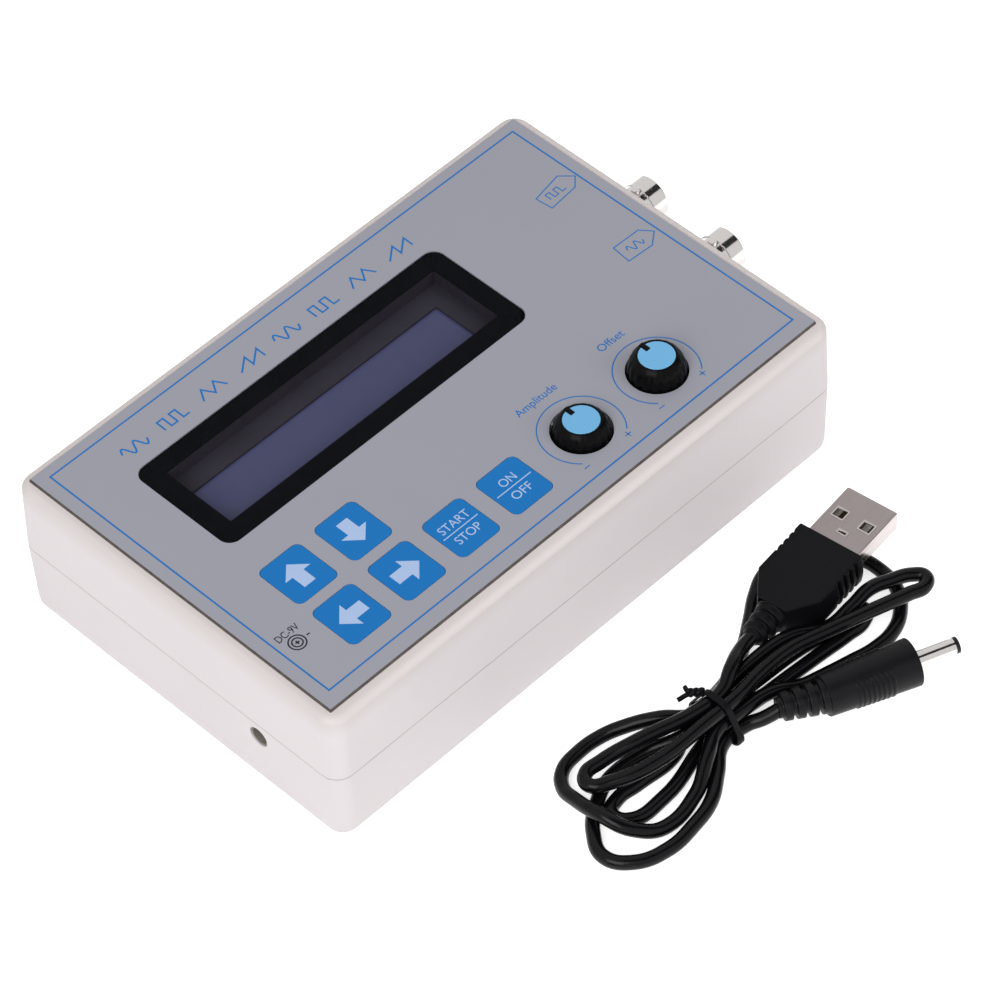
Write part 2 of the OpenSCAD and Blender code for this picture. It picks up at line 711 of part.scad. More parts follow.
module bnc_contact(i) color("#d0a850") on_bnc(i) translate([0, 0, contact_z]) difference() {
    cylinder(r = contact_r, h = contact_l, $fn = 32);
    translate([0, 0, 1]) cylinder(r = contact_bore_r, h = contact_l, $fn = 32);
}

module bnc_1_housing() bnc_housing(0);
module bnc_1_barrel() bnc_barrel(0);
module bnc_1_insulator() bnc_insulator(0);
module bnc_1_contact() bnc_contact(0);
module bnc_2_housing() bnc_housing(1);
module bnc_2_barrel() bnc_barrel(1);
module bnc_2_insulator() bnc_insulator(1);
module bnc_2_contact() bnc_contact(1);

// ---- power socket ----

module dc_jack() color("#1d1d20") difference() {
    translate([dc_face_x, dc_y - dc_jack_w / 2, board_top])
        cube([dc_jack_l, dc_jack_w, dc_axis_h + dc_jack_over]);
    translate([dc_face_x - 1, dc_y, dc_z]) rotate([0, 90, 0]) cylinder(r = dc_bore_r, h = dc_depth + 1);
}

module dc_jack_pin() color("silver") translate([dc_face_x + dc_pin_back, dc_y, dc_z])
    rotate([0, 90, 0]) cylinder(r = dc_pin_r, h = dc_depth - dc_pin_back, $fn = 32);

// ---- fasteners ----

// Screw along +Z: its head bears at z = 0 and its shank goes up
module screw(r, shank, head_radius, head_height) {
    translate([0, 0, -eps]) cylinder(r = r, h = shank + eps, $fn = 32);
    difference() {
        translate([0, 0, -head_height]) cylinder(r = head_radius, h = head_height, $fn = 32);
        for (a = [0, 90]) rotate([0, 0, a]) translate([0, 0, -head_height - 1])
            box(2 * head_radius - drive_rim, drive_w, 1 + drive_depth);
    }
}

module case_screws() color("#8d8d90") at_all(case_posts) translate([0, 0, counterbore])
    screw(screw_r, parting_z - counterbore + case_screw_bite, head_r, head_t);

module board_screws() color("#b9b9bc") at_all(board_posts) translate([0, 0, board_top]) mirror([0, 0, 1])
    screw(small_screw_r, board_t + board_screw_bite, small_head_r, small_head_t);

module display_screws() color("#b9b9bc") at_all(lcd_holes) translate([0, 0, lcd_board_z])
    screw(small_screw_r, board_t + display_screw_bite, small_head_r, small_head_t);

// ---- power lead ----

function unit(v) = v / norm(v);
// Direction of a route at point i
function along(p, i) = unit(p[min(i + 1, len(p) - 1)] - p[max(i - 1, 0)]);
// Ring of points round point i of a route
function ring(p, i, r, n) = let (t = along(p, i), u = unit(cross([0, 0, 1], t)), v = cross(t, u))
    [for (k = [0:n - 1]) p[i] + r * (cos(360 * k / n) * u + sin(360 * k / n) * v)];

// Tube of radius r that follows the points of a route
module cable(p, r, n) {
    m = len(p);
    polyhedron(
        points = [for (i = [0:m - 1]) each ring(p, i, r, n)],
        faces = concat(
            [[for (k = [0:n - 1]) k]],
            [for (i = [0:m - 2], k = [0:n - 1])
                [i * n + k, (i + 1) * n + k, (i + 1) * n + (k + 1) % n]],
            [for (i = [0:m - 2], k = [0:n - 1])
                [i * n + k, (i + 1) * n + (k + 1) % n, i * n + (k + 1) % n]],
            [[for (k = [n - 1:-1:0]) (m - 1) * n + k]]));
}

// Puts a piece drawn along +X on a plug's axis, with x = 0 at the front face of its grip
module on_usb() translate(usb_at) rotate([0, 0, usb_angle]) children();
module on_plug() translate(plug_at) rotate([0, 0, plug_angle]) children();

module usb_shell() color("#cfcccd") on_usb() difference() {
    translate([-usb_in, -usb_w / 2, -usb_h / 2]) cube([usb_in + usb_out, usb_w, usb_h]);
    translate([-usb_in - 1, -usb_w / 2 + usb_sheet, -usb_h / 2 + usb_sheet])
        cube([usb_in + usb_out + 2, usb_w - 2 * usb_sheet, usb_h - 2 * usb_sheet]);
    for (s = [-1, 1]) translate([usb_out - window_back, s * window_y, -usb_h])
        box(window_l, window_w, 2 * usb_h);
    translate([usb_out - slot_back, 0, 0]) box(slot_l, slot_w, usb_h);
}

module usb_insert() color("#d8d6d0") on_usb()
    translate([-usb_in, -usb_w / 2 + usb_sheet + seat_gap, -usb_h / 2 + usb_sheet])
        cube([usb_in + usb_out - tongue_back, usb_w - 2 * usb_sheet - 2 * seat_gap, tongue_t]);

module usb_contacts() color("#d0a850") on_usb() for (y = usb_pin_y)
    translate([usb_out - usb_pin_back, y - usb_pin_w / 2, -usb_h / 2 + usb_sheet + tongue_t])
        cube([usb_pin_l, usb_pin_w, usb_pin_t]);

// Moulded grip: its sides slope from half its thickness to both flat faces, and it narrows to the
// strain relief; finger grooves are cut in both sides
module usb_grip() color("#1c1c20") on_usb() difference() {
    union() {
        intersection() {
            translate([0, 0, -grip_t / 2]) linear_extrude(grip_t) polygon([
                [0, grip_w / 2 - grip_r], [-grip_r, grip_w / 2], [-grip_l, grip_w / 2],
                [-grip_l - grip_taper, grip_back], [-grip_l - grip_taper, -grip_back],
                [-grip_l, -grip_w / 2], [-grip_r, -grip_w / 2], [0, grip_r - grip_w / 2]]);
            translate([1, 0, 0]) rotate([90, 0, -90])
                linear_extrude(grip_l + grip_taper + 2) polygon([
                    [-grip_w / 2, 0], [-grip_face_w / 2, -grip_t / 2], [grip_face_w / 2, -grip_t / 2],
                    [grip_w / 2, 0], [grip_face_w / 2, grip_t / 2], [-grip_face_w / 2, grip_t / 2]]);
        }
        translate([-grip_l - grip_taper + eps, 0, 0]) rotate([0, -90, 0])
            ribbed(relief_r, relief_end_r, relief_l, usb_relief_rings);
    }
    for (i = [0:grooves - 1], s = [-1, 1])
        translate([-groove_first - i * groove_pitch, s * grip_w / 2, -grip_t])
            box(groove_w, 2 * groove_depth, 2 * grip_t);
    translate([-usb_in, -usb_w / 2, -usb_h / 2]) cube([usb_in + 1, usb_w, usb_h]);
}

// Strain relief along +Z: a cone with thicker rings
module ribbed(r1, r2, l, rings) {
    core = 0.75;
    ring = 0.6;
    rotate_extrude() polygon(concat([[0, 0]],
        [for (i = [0:rings - 1], s = [[0, 1], [ring, 1], [ring, core], [1, core]])
            let (f = (i + s[0]) / rings) [(r1 + (r2 - r1) * f) * s[1], l * f]],
        [[0, l]]));
}

module power_cable() color("#1d1d21") cable(lead_route, cable_r, cable_sides);

// Round every strand that passes the tie, in the plane of the tie
module round_strands(r) hull()
    for (p = tied) translate([p[1], p[0]]) circle(r, $fn = hull_fn);

// Tie round the cable's strands, with its twisted ends
module cable_tie() color("#161618") {
    translate([tie_w / 2, 0, 0]) rotate([0, -90, 0]) linear_extrude(tie_w) difference() {
        round_strands(cable_r + tie_t);
        round_strands(cable_r);
    }
    translate([0, tied[0][0] + knot_off, tied[0][1]]) {
        rotate([0, -90, 20]) cylinder(r = knot_r, h = knot_l, center = true);
        translate([-knot_l / 2, 0, 0]) rotate([60, 0, 30]) cylinder(r = knot_end_r, h = knot_end_l, $fn = 24);
    }
}

module dc_plug_body() color("#1c1c20") {
    on_plug() difference() {
        union() {
            rotate([0, -90, 0]) cylinder(r1 = plug_r, r2 = plug_back_r, h = plug_l);
            for (i = [0:ridges - 1], side = [-90, 90])
                let (back = ridge_first + i * ridge_pitch,
                    r = plug_r - (plug_r - plug_back_r) * back / plug_l)
                translate([-back, 0, 0]) rotate([0, 90, 0]) rotate([0, 0, side - ridge_arc / 2])
                    rotate_extrude(angle = ridge_arc)
                        translate([r - 1, 0]) square([1 + ridge_h, ridge_w]);
        }
        translate([-plug_in, 0, 0]) rotate([0, 90, 0])
            cylinder(r = barrel_root_r + seat_gap, h = plug_in + 1);
    }
    on_plug() translate([-plug_l + plug_relief_in, 0, 0])
        rotate([0, 0, plug_relief_angle - plug_angle]) rotate([0, -90, 0])
            ribbed(plug_back_r - plug_relief_step, plug_relief_end_r, plug_relief_l, plug_relief_rings);
}

// Barrel of the round plug, with a slimmer root inside the grip
module dc_plug_barrel() color("#d2d2d4") on_plug() rotate([0, 90, 0]) {
    tube(barrel_r, tip_sleeve_r + seat_gap, barrel_l);
    translate([0, 0, -plug_in]) tube(barrel_root_r, tip_sleeve_r + seat_gap, plug_in + eps);
}

module dc_plug_tip() color("#111113") on_plug() rotate([0, 90, 0]) difference() {
    union() {
        translate([0, 0, -plug_in]) cylinder(r = tip_sleeve_r, h = plug_in + barrel_l + tip_t);
        translate([0, 0, barrel_l]) cylinder(r = barrel_r - tip_step, h = tip_t);
    }
    cylinder(r = tip_bore_r, h = barrel_l + tip_t + 1);
}

bottom_shell();
top_shell();
panel_label();
display_window();
display_mask();
lcd_board();
lcd_bezel();
lcd_glass();
lcd_backlight();
lcd_header();
main_board();
microcontroller();
output_amplifier();
crystal();
capacitors();
key_switches();
key_up();
key_down();
key_left();
key_right();
key_start_stop();
key_on_off();
plunger_up();
plunger_down();
plunger_left();
plunger_right();
plunger_start_stop();
plunger_on_off();
amplitude_pot();
amplitude_shaft();
amplitude_knob();
amplitude_cap();
offset_pot();
offset_shaft();
offset_knob();
offset_cap();
bnc_1_housing();
bnc_1_barrel();
bnc_1_insulator();
bnc_1_contact();
bnc_2_housing();
bnc_2_barrel();
bnc_2_insulator();
bnc_2_contact();
dc_jack();
dc_jack_pin();
case_screws();
board_screws();
display_screws();
usb_shell();
usb_insert();
usb_contacts();
usb_grip();
power_cable();
cable_tie();
dc_plug_body();
dc_plug_barrel();
dc_plug_tip();
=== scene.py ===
import math

import bpy
from mathutils import Matrix, Vector


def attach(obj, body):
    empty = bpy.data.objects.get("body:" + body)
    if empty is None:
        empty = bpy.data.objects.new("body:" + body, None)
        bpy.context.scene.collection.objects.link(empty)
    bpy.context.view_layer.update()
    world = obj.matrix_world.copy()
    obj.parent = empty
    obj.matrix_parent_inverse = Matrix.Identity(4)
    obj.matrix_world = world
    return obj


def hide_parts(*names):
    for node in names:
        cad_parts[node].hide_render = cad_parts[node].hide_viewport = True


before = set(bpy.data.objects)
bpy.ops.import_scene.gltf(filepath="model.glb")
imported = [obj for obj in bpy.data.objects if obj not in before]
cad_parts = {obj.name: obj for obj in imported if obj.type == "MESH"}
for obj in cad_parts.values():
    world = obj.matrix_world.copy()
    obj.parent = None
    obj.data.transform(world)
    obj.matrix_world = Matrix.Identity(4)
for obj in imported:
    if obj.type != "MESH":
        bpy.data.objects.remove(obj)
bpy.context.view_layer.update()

MM = 0.001

# ---- Camera ----
# A long lens that looks down on the panel from beyond the corner by the arrow keys. It leans a
# few degrees, so that upright edges lean to the left in the view.
azimuth, elevation, roll = (math.radians(angle) for angle in (-43.006, 49.111, -3.206))
back = Vector((math.sin(azimuth) * math.cos(elevation), -math.cos(azimuth) * math.cos(elevation),
               math.sin(elevation)))
right = Matrix.Rotation(roll, 3, back) @ Vector((0, 0, 1)).cross(back).normalized()
turned = Matrix((right, back.cross(right), back)).transposed()
bpy.ops.object.camera_add(location=(-0.4443, -0.4956, 0.7749), rotation=turned.to_euler())
camera = bpy.context.object
camera.data.lens = 182.04
camera.data.sensor_width = 36
bpy.context.scene.camera = camera

# ---- Cable ----
# A round flexible cable, 3 mm thick, with a soft black PVC jacket extruded over its wires. It
# leaves the computer plug, is folded in seven bends into a hank that the tie holds, and ends in
# the round power plug.
cable_width = 3.0
lowest = cable_width / 2
route = [
    # out of the computer plug, through the tie to the narrow inner loop
    (20, -70.2, 7), (13, -71.5, 7.7), (7.9, -73.8, 8.8), (3.5, -75.7, 7.7), (-3.5, -75.7, 7.7),
    (-15.8, -71.9, 6.9), (-24, -69, 4.9), (-28, -68.9, 4.6), (-29.4, -71.2, 4.7),
    (-26.5, -73.9, 5.1), (-18, -77.7, 6.6), (-3.5, -78.9, 7.7),
    # to the long upper loop beside the computer plug
    (3.5, -78.9, 7.7), (12, -77.9, 7.4), (20.6, -78, 7), (25.3, -79.1, 6.9), (30.2, -80.9, 7.3),
    (34.6, -81.7, 6.6), (41.1, -83.1, 5.8), (47.8, -84.9, 5.4), (51.4, -85.7, 5.1),
    (53.4, -84, 5), (52, -81.8, 5), (47.7, -79.8, 5.3), (43.2, -78.5, 5.7), (37.2, -78.9, 5.6),
    (30.8, -78.7, 5), (23.3, -75.1, 5.7), (13, -74, 5.6), (3.5, -74.2, 5),
    # the wide outer loop
    (-3.5, -74.2, 5), (-8.6, -70.4, 5.6), (-13.8, -66, 4), (-18.5, -63.4, 2.6),
    (-23.7, -62.6, 1.9), (-28.6, -63.4, 1.7), (-31.7, -66.4, 1.9), (-32.9, -71, 3.3),
    (-33.3, -77.8, 5.2), (-31, -84, 3.8), (-24.5, -87.4, 1.7), (-15.4, -86.2, 1.9),
    (-8.6, -83, 4.6), (-3.5, -80.4, 5),
    # the big loop that runs under the computer plug
    (3.5, -80.4, 5), (11.1, -81, 4.3), (20, -83.5, 1.5), (29.4, -85.9, 1.5), (35, -87.1, 1.5),
    (40.5, -86.9, 1.5), (45.3, -84.7, 1.5), (49.3, -80.3, 1.5), (50.8, -75, 1.5),
    (50, -68.5, 1.5), (46.5, -62.5, 1.5), (40.5, -58.7, 1.5), (34.5, -58.3, 1.5),
    (29.3, -60.5, 1.5), (23.7, -64.2, 1.5), (18, -67.8, 1.5), (11, -70.9, 1.6), (3.5, -72.6, 2.2),
    # the small inner loop
    (-3.5, -72.6, 2.2), (-10.8, -76.5, 1.5), (-21, -76.2, 1.5), (-26.4, -75.8, 1.5),
    (-29.6, -77.4, 1.5), (-28.7, -80.7, 1.5), (-20.1, -82.1, 1.5), (-3.5, -78.9, 2.2),
    # the loop hidden below the long upper one
    (3.5, -78.9, 2.2), (13.9, -79.3, 1.5), (26, -80.4, 1.9), (33.5, -81.4, 2.5), (38, -81.5, 2.6),
    (40.5, -79.6, 2.6), (38, -78, 2.4), (33, -78.2, 1.9), (25, -76.9, 2.3), (13.2, -76.8, 3.6),
    (3.5, -77.3, 5),
    # the lowest loop, and through the tie to the round plug
    (-3.5, -77.3, 5), (-9.7, -76.2, 5), (-15, -72.8, 3), (-23, -71.2, 1.7), (-30.1, -73.8, 1.5),
    (-35.5, -78.2, 1.5), (-38.1, -83.6, 1.5), (-35.3, -88.4, 1.5), (-28.5, -91.2, 1.5),
    (-21, -90.9, 1.5), (-14.6, -89.4, 1.5), (-8.6, -85.6, 1.5), (-3.5, -82, 2.2), (3.5, -82, 2.2),
    (6.3, -83.8, 3.1), (10.5, -85.9, 5),
]


def strung(name, lines, radius, corners, steps):
    """A curve object: round wire of that radius in millimetres, along smooth lines through the
    points given."""
    curve = bpy.data.curves.new(name, "CURVE")
    curve.dimensions = "3D"
    curve.bevel_depth = radius * MM
    curve.bevel_resolution = corners
    curve.resolution_u = steps
    curve.use_fill_caps = True
    for line in lines:
        spline = curve.splines.new("BEZIER")
        spline.bezier_points.add(len(line) - 1)
        for bend, point in zip(spline.bezier_points, line):
            bend.co = Vector(point) * MM
            bend.handle_left_type = bend.handle_right_type = "AUTO"
    piece = bpy.data.objects.new(name, curve)
    bpy.context.collection.objects.link(piece)
    return piece


cable = strung("lead_cable", [route], cable_width / 2, corners=6, steps=8)
bpy.context.view_layer.update()
for bend in cable.data.splines[0].bezier_points:
    # a strand that lies on the table runs level there, and doesn't dip into it
    ahead, behind = bend.handle_right.copy(), bend.handle_left.copy()
    if min(ahead.z, behind.z) < lowest * MM:
        ahead.z = behind.z = bend.co.z
    bend.handle_left_type = bend.handle_right_type = "FREE"
    bend.handle_right, bend.handle_left = ahead, behind


def srgb(code):
    """Linear colour of a hex code."""
    parts = [int(code[i:i + 2], 16) / 255 for i in (1, 3, 5)]
    return [v / 12.92 if v <= 0.04045 else ((v + 0.055) / 1.055) ** 2.4 for v in parts] + [1]


def new_material(name):
    """A material with no nodes yet."""
    material = bpy.data.materials.new(name)
    material.use_nodes = True
    material.node_tree.nodes.clear()
    return material


def add(material, kind, inputs, **settings):
    """Adds a node: each input takes a value, or a link from the output that it is given."""
    node = material.node_tree.nodes.new("ShaderNode" + kind)
    for name, value in settings.items():
        setattr(node, name, value)
    for name, value in inputs.items():
        if isinstance(value, bpy.types.NodeSocket):
            material.node_tree.links.new(value, node.inputs[name])
        else:
            node.inputs[name].default_value = value
    return node


def moulded(name, colour, worn, grain, depth, roughness, patch=12.0, shine=0.5, spread=0.06):
    """A moulded, extruded or printed finish: its colour drifts towards a worn one over patches,
    and a grain left by the mould or the film breaks up its gloss. Sizes are in millimetres."""
    material = new_material(name)
    place = add(material, "TexCoord", {})
    # turned off the axes, so that a flat face doesn't cut the noise along its own grid
    turn = add(material, "Mapping", {"Vector": place.outputs["Object"],
                                     "Rotation": (0.3, 0.2, 0.7)})
    drift = add(material, "TexNoise", {"Vector": turn.outputs["Vector"], "Scale": 1 / (patch * MM),
                                       "Detail": 3, "Roughness": 0.55})
    tint = add(material, "MixRGB", {"Fac": drift.outputs["Fac"], "Color1": srgb(colour),
                                    "Color2": srgb(worn)})
    grit = add(material, "TexNoise", {"Vector": turn.outputs["Vector"], "Scale": 1 / (grain * MM),
                                      "Detail": 2, "Roughness": 0.5})
    gloss = add(material, "MapRange", {
        "Value": grit.outputs["Fac"], "From Min": 0.3, "From Max": 0.7,
        "To Min": roughness - spread, "To Max": roughness + spread})
    relief = add(material, "Bump", {"Height": grit.outputs["Fac"], "Strength": 0.6,
                                    "Distance": depth * MM})
    shader = add(material, "BsdfPrincipled", {
        "Base Color": tint.outputs["Color"], "Roughness": gloss.outputs["Result"],
        "Normal": relief.outputs["Normal"], "Specular IOR Level": shine})
    add(material, "OutputMaterial", {"Surface": shader.outputs["BSDF"]})
    return material


# soft PVC, extruded: a slightly waxy black whose gloss is broken by a fine orange peel
jacket_pvc = moulded("extruded soft PVC", "#070709", "#0C0C0F", 0.9, 0.03, 0.22, patch=6,
                     shine=0.2)


def fit(piece, body, slot, material, *nodes):
    """Gives a finished piece its material and body, in the place of the CAD nodes. Its slot is not
    used.
    """
    piece.data.materials.clear()
    piece.data.materials.append(material)
    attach(piece, body)
    if nodes:
        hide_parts(*nodes)


fit(cable, "power_lead", "lead_rubber", jacket_pvc, "power_cable")

# ---- Computer plug ----
# A flat four-pole plug: a folded sheet steel shell round a plastic tongue with four gilt
# contacts, overmoulded with a soft PVC grip that has finger slots and a strain relief.
usb_at = (44.2, -67.2, 7)
usb_angle = 7
shell_h = 4.5
# centre along the shell, centre across it, length and width of each pressed opening
openings = ((7.7, -3.2, 2.2, 2.4), (7.7, 3.2, 2.2, 2.4), (3.8, 0, 0.6, 1.8))
rim_w, rim_h, rim_sunk, rim_edge = 0.34, 0.12, 0.01, 0.05


def only(piece):
    """Selects that piece alone, and makes it the one that the operators work on."""
    bpy.ops.object.select_all(action="DESELECT")
    piece.select_set(True)
    bpy.context.view_layer.objects.active = piece


def modify(piece, kind, **settings):
    """Gives a piece a modifier with those settings and applies it."""
    only(piece)
    modifier = piece.modifiers.new(kind, kind)
    for name, value in settings.items():
        setattr(modifier, name, value)
    bpy.ops.object.modifier_apply(modifier=modifier.name)


def smooth(piece, angle=32):
    """Smooths a piece up to that angle, and keeps its large faces flat."""
    only(piece)
    bpy.ops.object.shade_smooth_by_angle(angle=math.radians(angle))
    modify(piece, "WEIGHTED_NORMAL", keep_sharp=True)


def dressed(name, node, edge, angle=38):
    """A merged copy of a CAD node's mesh, with its edges broken by so many millimetres. With an
    angle of 0 all its faces stay flat."""
    piece = bpy.data.objects.new(name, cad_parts[node].data.copy())
    bpy.context.collection.objects.link(piece)
    only(piece)
    bpy.ops.object.mode_set(mode="EDIT")
    bpy.ops.mesh.select_all(action="SELECT")
    bpy.ops.mesh.remove_doubles(threshold=0.002 * MM)
    if edge:
        bpy.ops.mesh.dissolve_limited(angle_limit=math.radians(0.6))
    bpy.ops.object.mode_set(mode="OBJECT")
    if edge:
        modify(piece, "BEVEL", width=edge * MM, segments=3, limit_method="ANGLE",
               angle_limit=math.radians(angle), use_clamp_overlap=False)
    if angle:
        smooth(piece)
    return piece


def placed(piece, at, turn=0.0):
    """Turns a piece about its upright axis and moves it, and leaves that place in its mesh."""
    only(piece)
    piece.location = Vector(at) * MM
    piece.rotation_euler = (0, 0, math.radians(turn))
    bpy.ops.object.transform_apply(location=True, rotation=True, scale=True)


def outward(piece):
    """Turns a piece's faces outwards."""
    only(piece)
    bpy.ops.object.mode_set(mode="EDIT")
    bpy.ops.mesh.select_all(action="SELECT")
    bpy.ops.mesh.normals_make_consistent(inside=False)
    bpy.ops.object.mode_set(mode="OBJECT")


def joined(name, pieces):
    """Makes one piece of several."""
    only(pieces[0])
    for piece in pieces:
        piece.select_set(True)
    if len(pieces) > 1:
        bpy.ops.object.join()
    bpy.context.object.name = name
    return bpy.context.object


plug_shell = dressed("computer_plug_shell", "usb_shell", edge=0.3)
plug_grip = dressed("computer_plug_grip", "usb_grip", edge=0.3)

# the pressed rim of each opening: a thin sheet, inset, opened in its middle and raised
rims = []
for along, across, length, width in openings:
    bpy.ops.object.select_all(action="DESELECT")
    bpy.ops.mesh.primitive_plane_add(size=1)
    rim = bpy.context.object
    rim.scale = ((length + 2 * rim_w) * MM, (width + 2 * rim_w) * MM, 1)
    bpy.ops.object.transform_apply(scale=True)
    bpy.ops.object.mode_set(mode="EDIT")
    bpy.ops.mesh.inset(thickness=rim_w * MM)
    bpy.ops.mesh.delete(type="FACE")
    bpy.ops.mesh.select_all(action="SELECT")
    bpy.ops.mesh.extrude_region_move(TRANSFORM_OT_translate={"value": (0, 0, rim_h * MM)})
    bpy.ops.object.mode_set(mode="OBJECT")
    outward(rim)
    modify(rim, "BEVEL", width=rim_edge * MM, segments=2)
    about = Matrix.Rotation(math.radians(usb_angle), 3, "Z")
    spot = about @ Vector((along, across, shell_h / 2 - rim_sunk))
    placed(rim, Vector(usb_at) + spot, usb_angle)
    rims.append(rim)
plug_rims = joined("computer_plug_rims", rims)
smooth(plug_rims)


def plated(name, colour, worn, brush, roughness, stretch=(1, 1, 1), spread=0.05):
    """A plated or rolled metal: fine marks of that size in millimetres, drawn out by stretch,
    vary its tone and its gloss."""
    material = new_material(name)
    place = add(material, "TexCoord", {})
    turn = add(material, "Mapping", {"Vector": place.outputs["Object"], "Scale": stretch})
    marks = add(material, "TexNoise", {"Vector": turn.outputs["Vector"], "Scale": 1 / (brush * MM),
                                       "Detail": 4})
    tone = add(material, "MixRGB", {"Fac": marks.outputs["Fac"], "Color1": srgb(colour),
                                    "Color2": srgb(worn)})
    haze = add(material, "MapRange", {
        "Value": marks.outputs["Fac"], "From Min": 0.3, "From Max": 0.7,
        "To Min": roughness - spread, "To Max": roughness + spread})
    relief = add(material, "Bump", {"Height": marks.outputs["Fac"], "Strength": 0.25,
                                    "Distance": 0.01 * MM})
    shader = add(material, "BsdfPrincipled", {
        "Base Color": tone.outputs["Color"], "Metallic": 1.0, "Roughness": haze.outputs["Result"],
        "Normal": relief.outputs["Normal"]})
    add(material, "OutputMaterial", {"Surface": shader.outputs["BSDF"]})
    return material


# soft PVC, moulded: deep matt black, with the grain that a blasted mould leaves
grip_pvc = moulded("moulded soft PVC", "#0A0A0D", "#0F0F12", 0.5, 0.04, 0.44, patch=5, shine=0.12)
# tinned steel sheet, rolled: grey with a soft sheen, its marks drawn out along the plug
tinned_steel = plated("tinned steel sheet", "#A39A99", "#B0A7A6", 0.8, 0.33, (0.25, 1, 1))
# the same steel, lighter, on the raised rims of the openings: a narrow bright line
pressed_steel = plated("pressed steel rim", "#D8D2D0", "#C9C3C1", 0.4, 0.3)
# glass-filled nylon: an off-white plastic with a faint grain
tongue_nylon = moulded("moulded nylon", "#CFCBC4", "#C6C1B9", 0.4, 0.01, 0.5, patch=4)
# flash gold over nickel: warm, bright and even
gilt = plated("flash gold plate", "#D9B25A", "#CFA54B", 0.5, 0.24)
fit(plug_shell, "power_lead", "nickel", tinned_steel, "usb_shell")
# painted highlight: the shell's upright sides get a lighter copy of the steel, standing in for the
# light they catch
side_highlight_steel = plated("tinned steel, painted highlight on the sides", "#D6CECC", "#C7BFBD", 0.8, 0.24, (0.25, 1, 1))
plug_shell.data.materials.append(side_highlight_steel)
# painted highlight: faces that stand upright take the lighter steel
for face in plug_shell.data.polygons:
    if abs(face.normal.z) < 0.4:
        face.material_index = 1
fit(plug_rims, "power_lead", "nickel", pressed_steel)
fit(plug_grip, "power_lead", "lead_rubber", grip_pvc, "usb_grip")


def finish(material, *nodes):
    """Gives CAD nodes that are shown as they are their material."""
    for node in nodes:
        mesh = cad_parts[node].data
        mesh.materials.clear()
        mesh.materials.append(material)


finish(tongue_nylon, "usb_insert")
# the same plate, dulled to a dark grey-brown with little gold in it
dull_gilt = plated("dull gold plate", "#8D7F68", "#9C8C70", 0.5, 0.34)
finish(dull_gilt, "usb_contacts")
finish(tinned_steel, "usb_shell")
finish(grip_pvc, "usb_grip")
finish(jacket_pvc, "power_cable")

# ---- Tie ----
# A strip of plastic with a wire in it, drawn tight round the strands at the hank's waist. Its
# two ends are twisted together on the side of the case and then spread.

# Y and Z of the strands that the strip bends round
outer_strands = ((-75.7, 7.7), (-78.9, 7.7), (-82, 2.2), (-72.6, 2.2))
tie_w, tie_t, tie_edge, tie_clear, bend_steps = 1.5, 0.55, 0.2, 0.12, 8
# the two wires sink into each other a little where they are twisted
turns, wire_r, twist_r, twist_steps = 1.25, 0.5, 0.475, 10
twist_from, twist_to = Vector((-0.3, -74.1, 9.15)), Vector((-2.0, -71.9, 8.6))
tie_ends = (Vector((-1.7, -70.5, 8.9)), Vector((-4.2, -70.9, 7.4)))


def traced(name, line, closed=False):
    """A line through those points in millimetres, as a mesh of edges."""
    curve = bpy.data.curves.new(name, "CURVE")
    curve.dimensions = "3D"
    spline = curve.splines.new("POLY")
    spline.points.add(len(line) - 1)
    for dot, point in zip(spline.points, line):
        dot.co = (*(Vector(point) * MM), 1)
    spline.use_cyclic_u = closed
    piece = bpy.data.objects.new(name, curve)
    bpy.context.collection.objects.link(piece)
    only(piece)
    bpy.ops.object.convert(target="MESH")
    return bpy.context.object


def raised(piece, move):
    """Draws every edge of a piece out by that many millimetres."""
    only(piece)
    bpy.ops.object.mode_set(mode="EDIT")
    bpy.ops.mesh.select_all(action="SELECT")
    bpy.ops.mesh.extrude_region_move(TRANSFORM_OT_translate={"value": Vector(move) * MM})
    bpy.ops.object.mode_set(mode="OBJECT")


reach = cable_width / 2 + tie_clear
loop = []
for before, strand_at, after in zip(outer_strands[-1:] + outer_strands[:-1], outer_strands,
                                    outer_strands[1:] + outer_strands[:1]):
    first = math.atan2(before[0] - strand_at[0], strand_at[1] - before[1])
    last = math.atan2(strand_at[0] - after[0], after[1] - strand_at[1])
    for step in range(bend_steps + 1):
        angle = first + (last - first) % math.tau * step / bend_steps
        loop.append((-tie_w / 2, strand_at[0] + reach * math.cos(angle),
                     strand_at[1] + reach * math.sin(angle)))
tie = traced("lead_tie", loop, closed=True)
raised(tie, (tie_w, 0, 0))
outward(tie)
modify(tie, "SOLIDIFY", thickness=tie_t * MM, offset=1)
modify(tie, "BEVEL", width=tie_edge * MM, segments=3, limit_method="ANGLE",
       angle_limit=math.radians(50))
smooth(tie, 40)

axis = (twist_to - twist_from).normalized()
side = axis.cross(Vector((0, 0, 1))).normalized()
lift = side.cross(axis)
wires = []
for start, end in zip((0, math.pi), tie_ends):
    wire = []
    for step in range(twist_steps + 1):
        angle = start + turns * math.tau * step / twist_steps
        wire.append(twist_from.lerp(twist_to, step / twist_steps)
                    + twist_r * (math.cos(angle) * side + math.sin(angle) * lift))
    wires.append(wire + [end])
only(strung("lead_tie_ends", wires, wire_r, corners=4, steps=4))
bpy.ops.object.convert(target="MESH")
bpy.ops.object.shade_smooth_by_angle(angle=math.radians(50))
twist = bpy.context.object
fit(tie, "power_lead", "lead_rubber", grip_pvc, "cable_tie")
fit(twist, "power_lead", "lead_rubber", grip_pvc)
finish(grip_pvc, "cable_tie")

# ---- Round power plug ----
# A coaxial plug: a nickelled brass barrel with a black plastic tip that insulates its bore,
# moulded into a soft PVC body with ribs on its sides and a ringed strain relief.
round_grip = dressed("round_plug_grip", "dc_plug_body", edge=0.12)
round_barrel = dressed("round_plug_barrel", "dc_plug_barrel", edge=0.08)
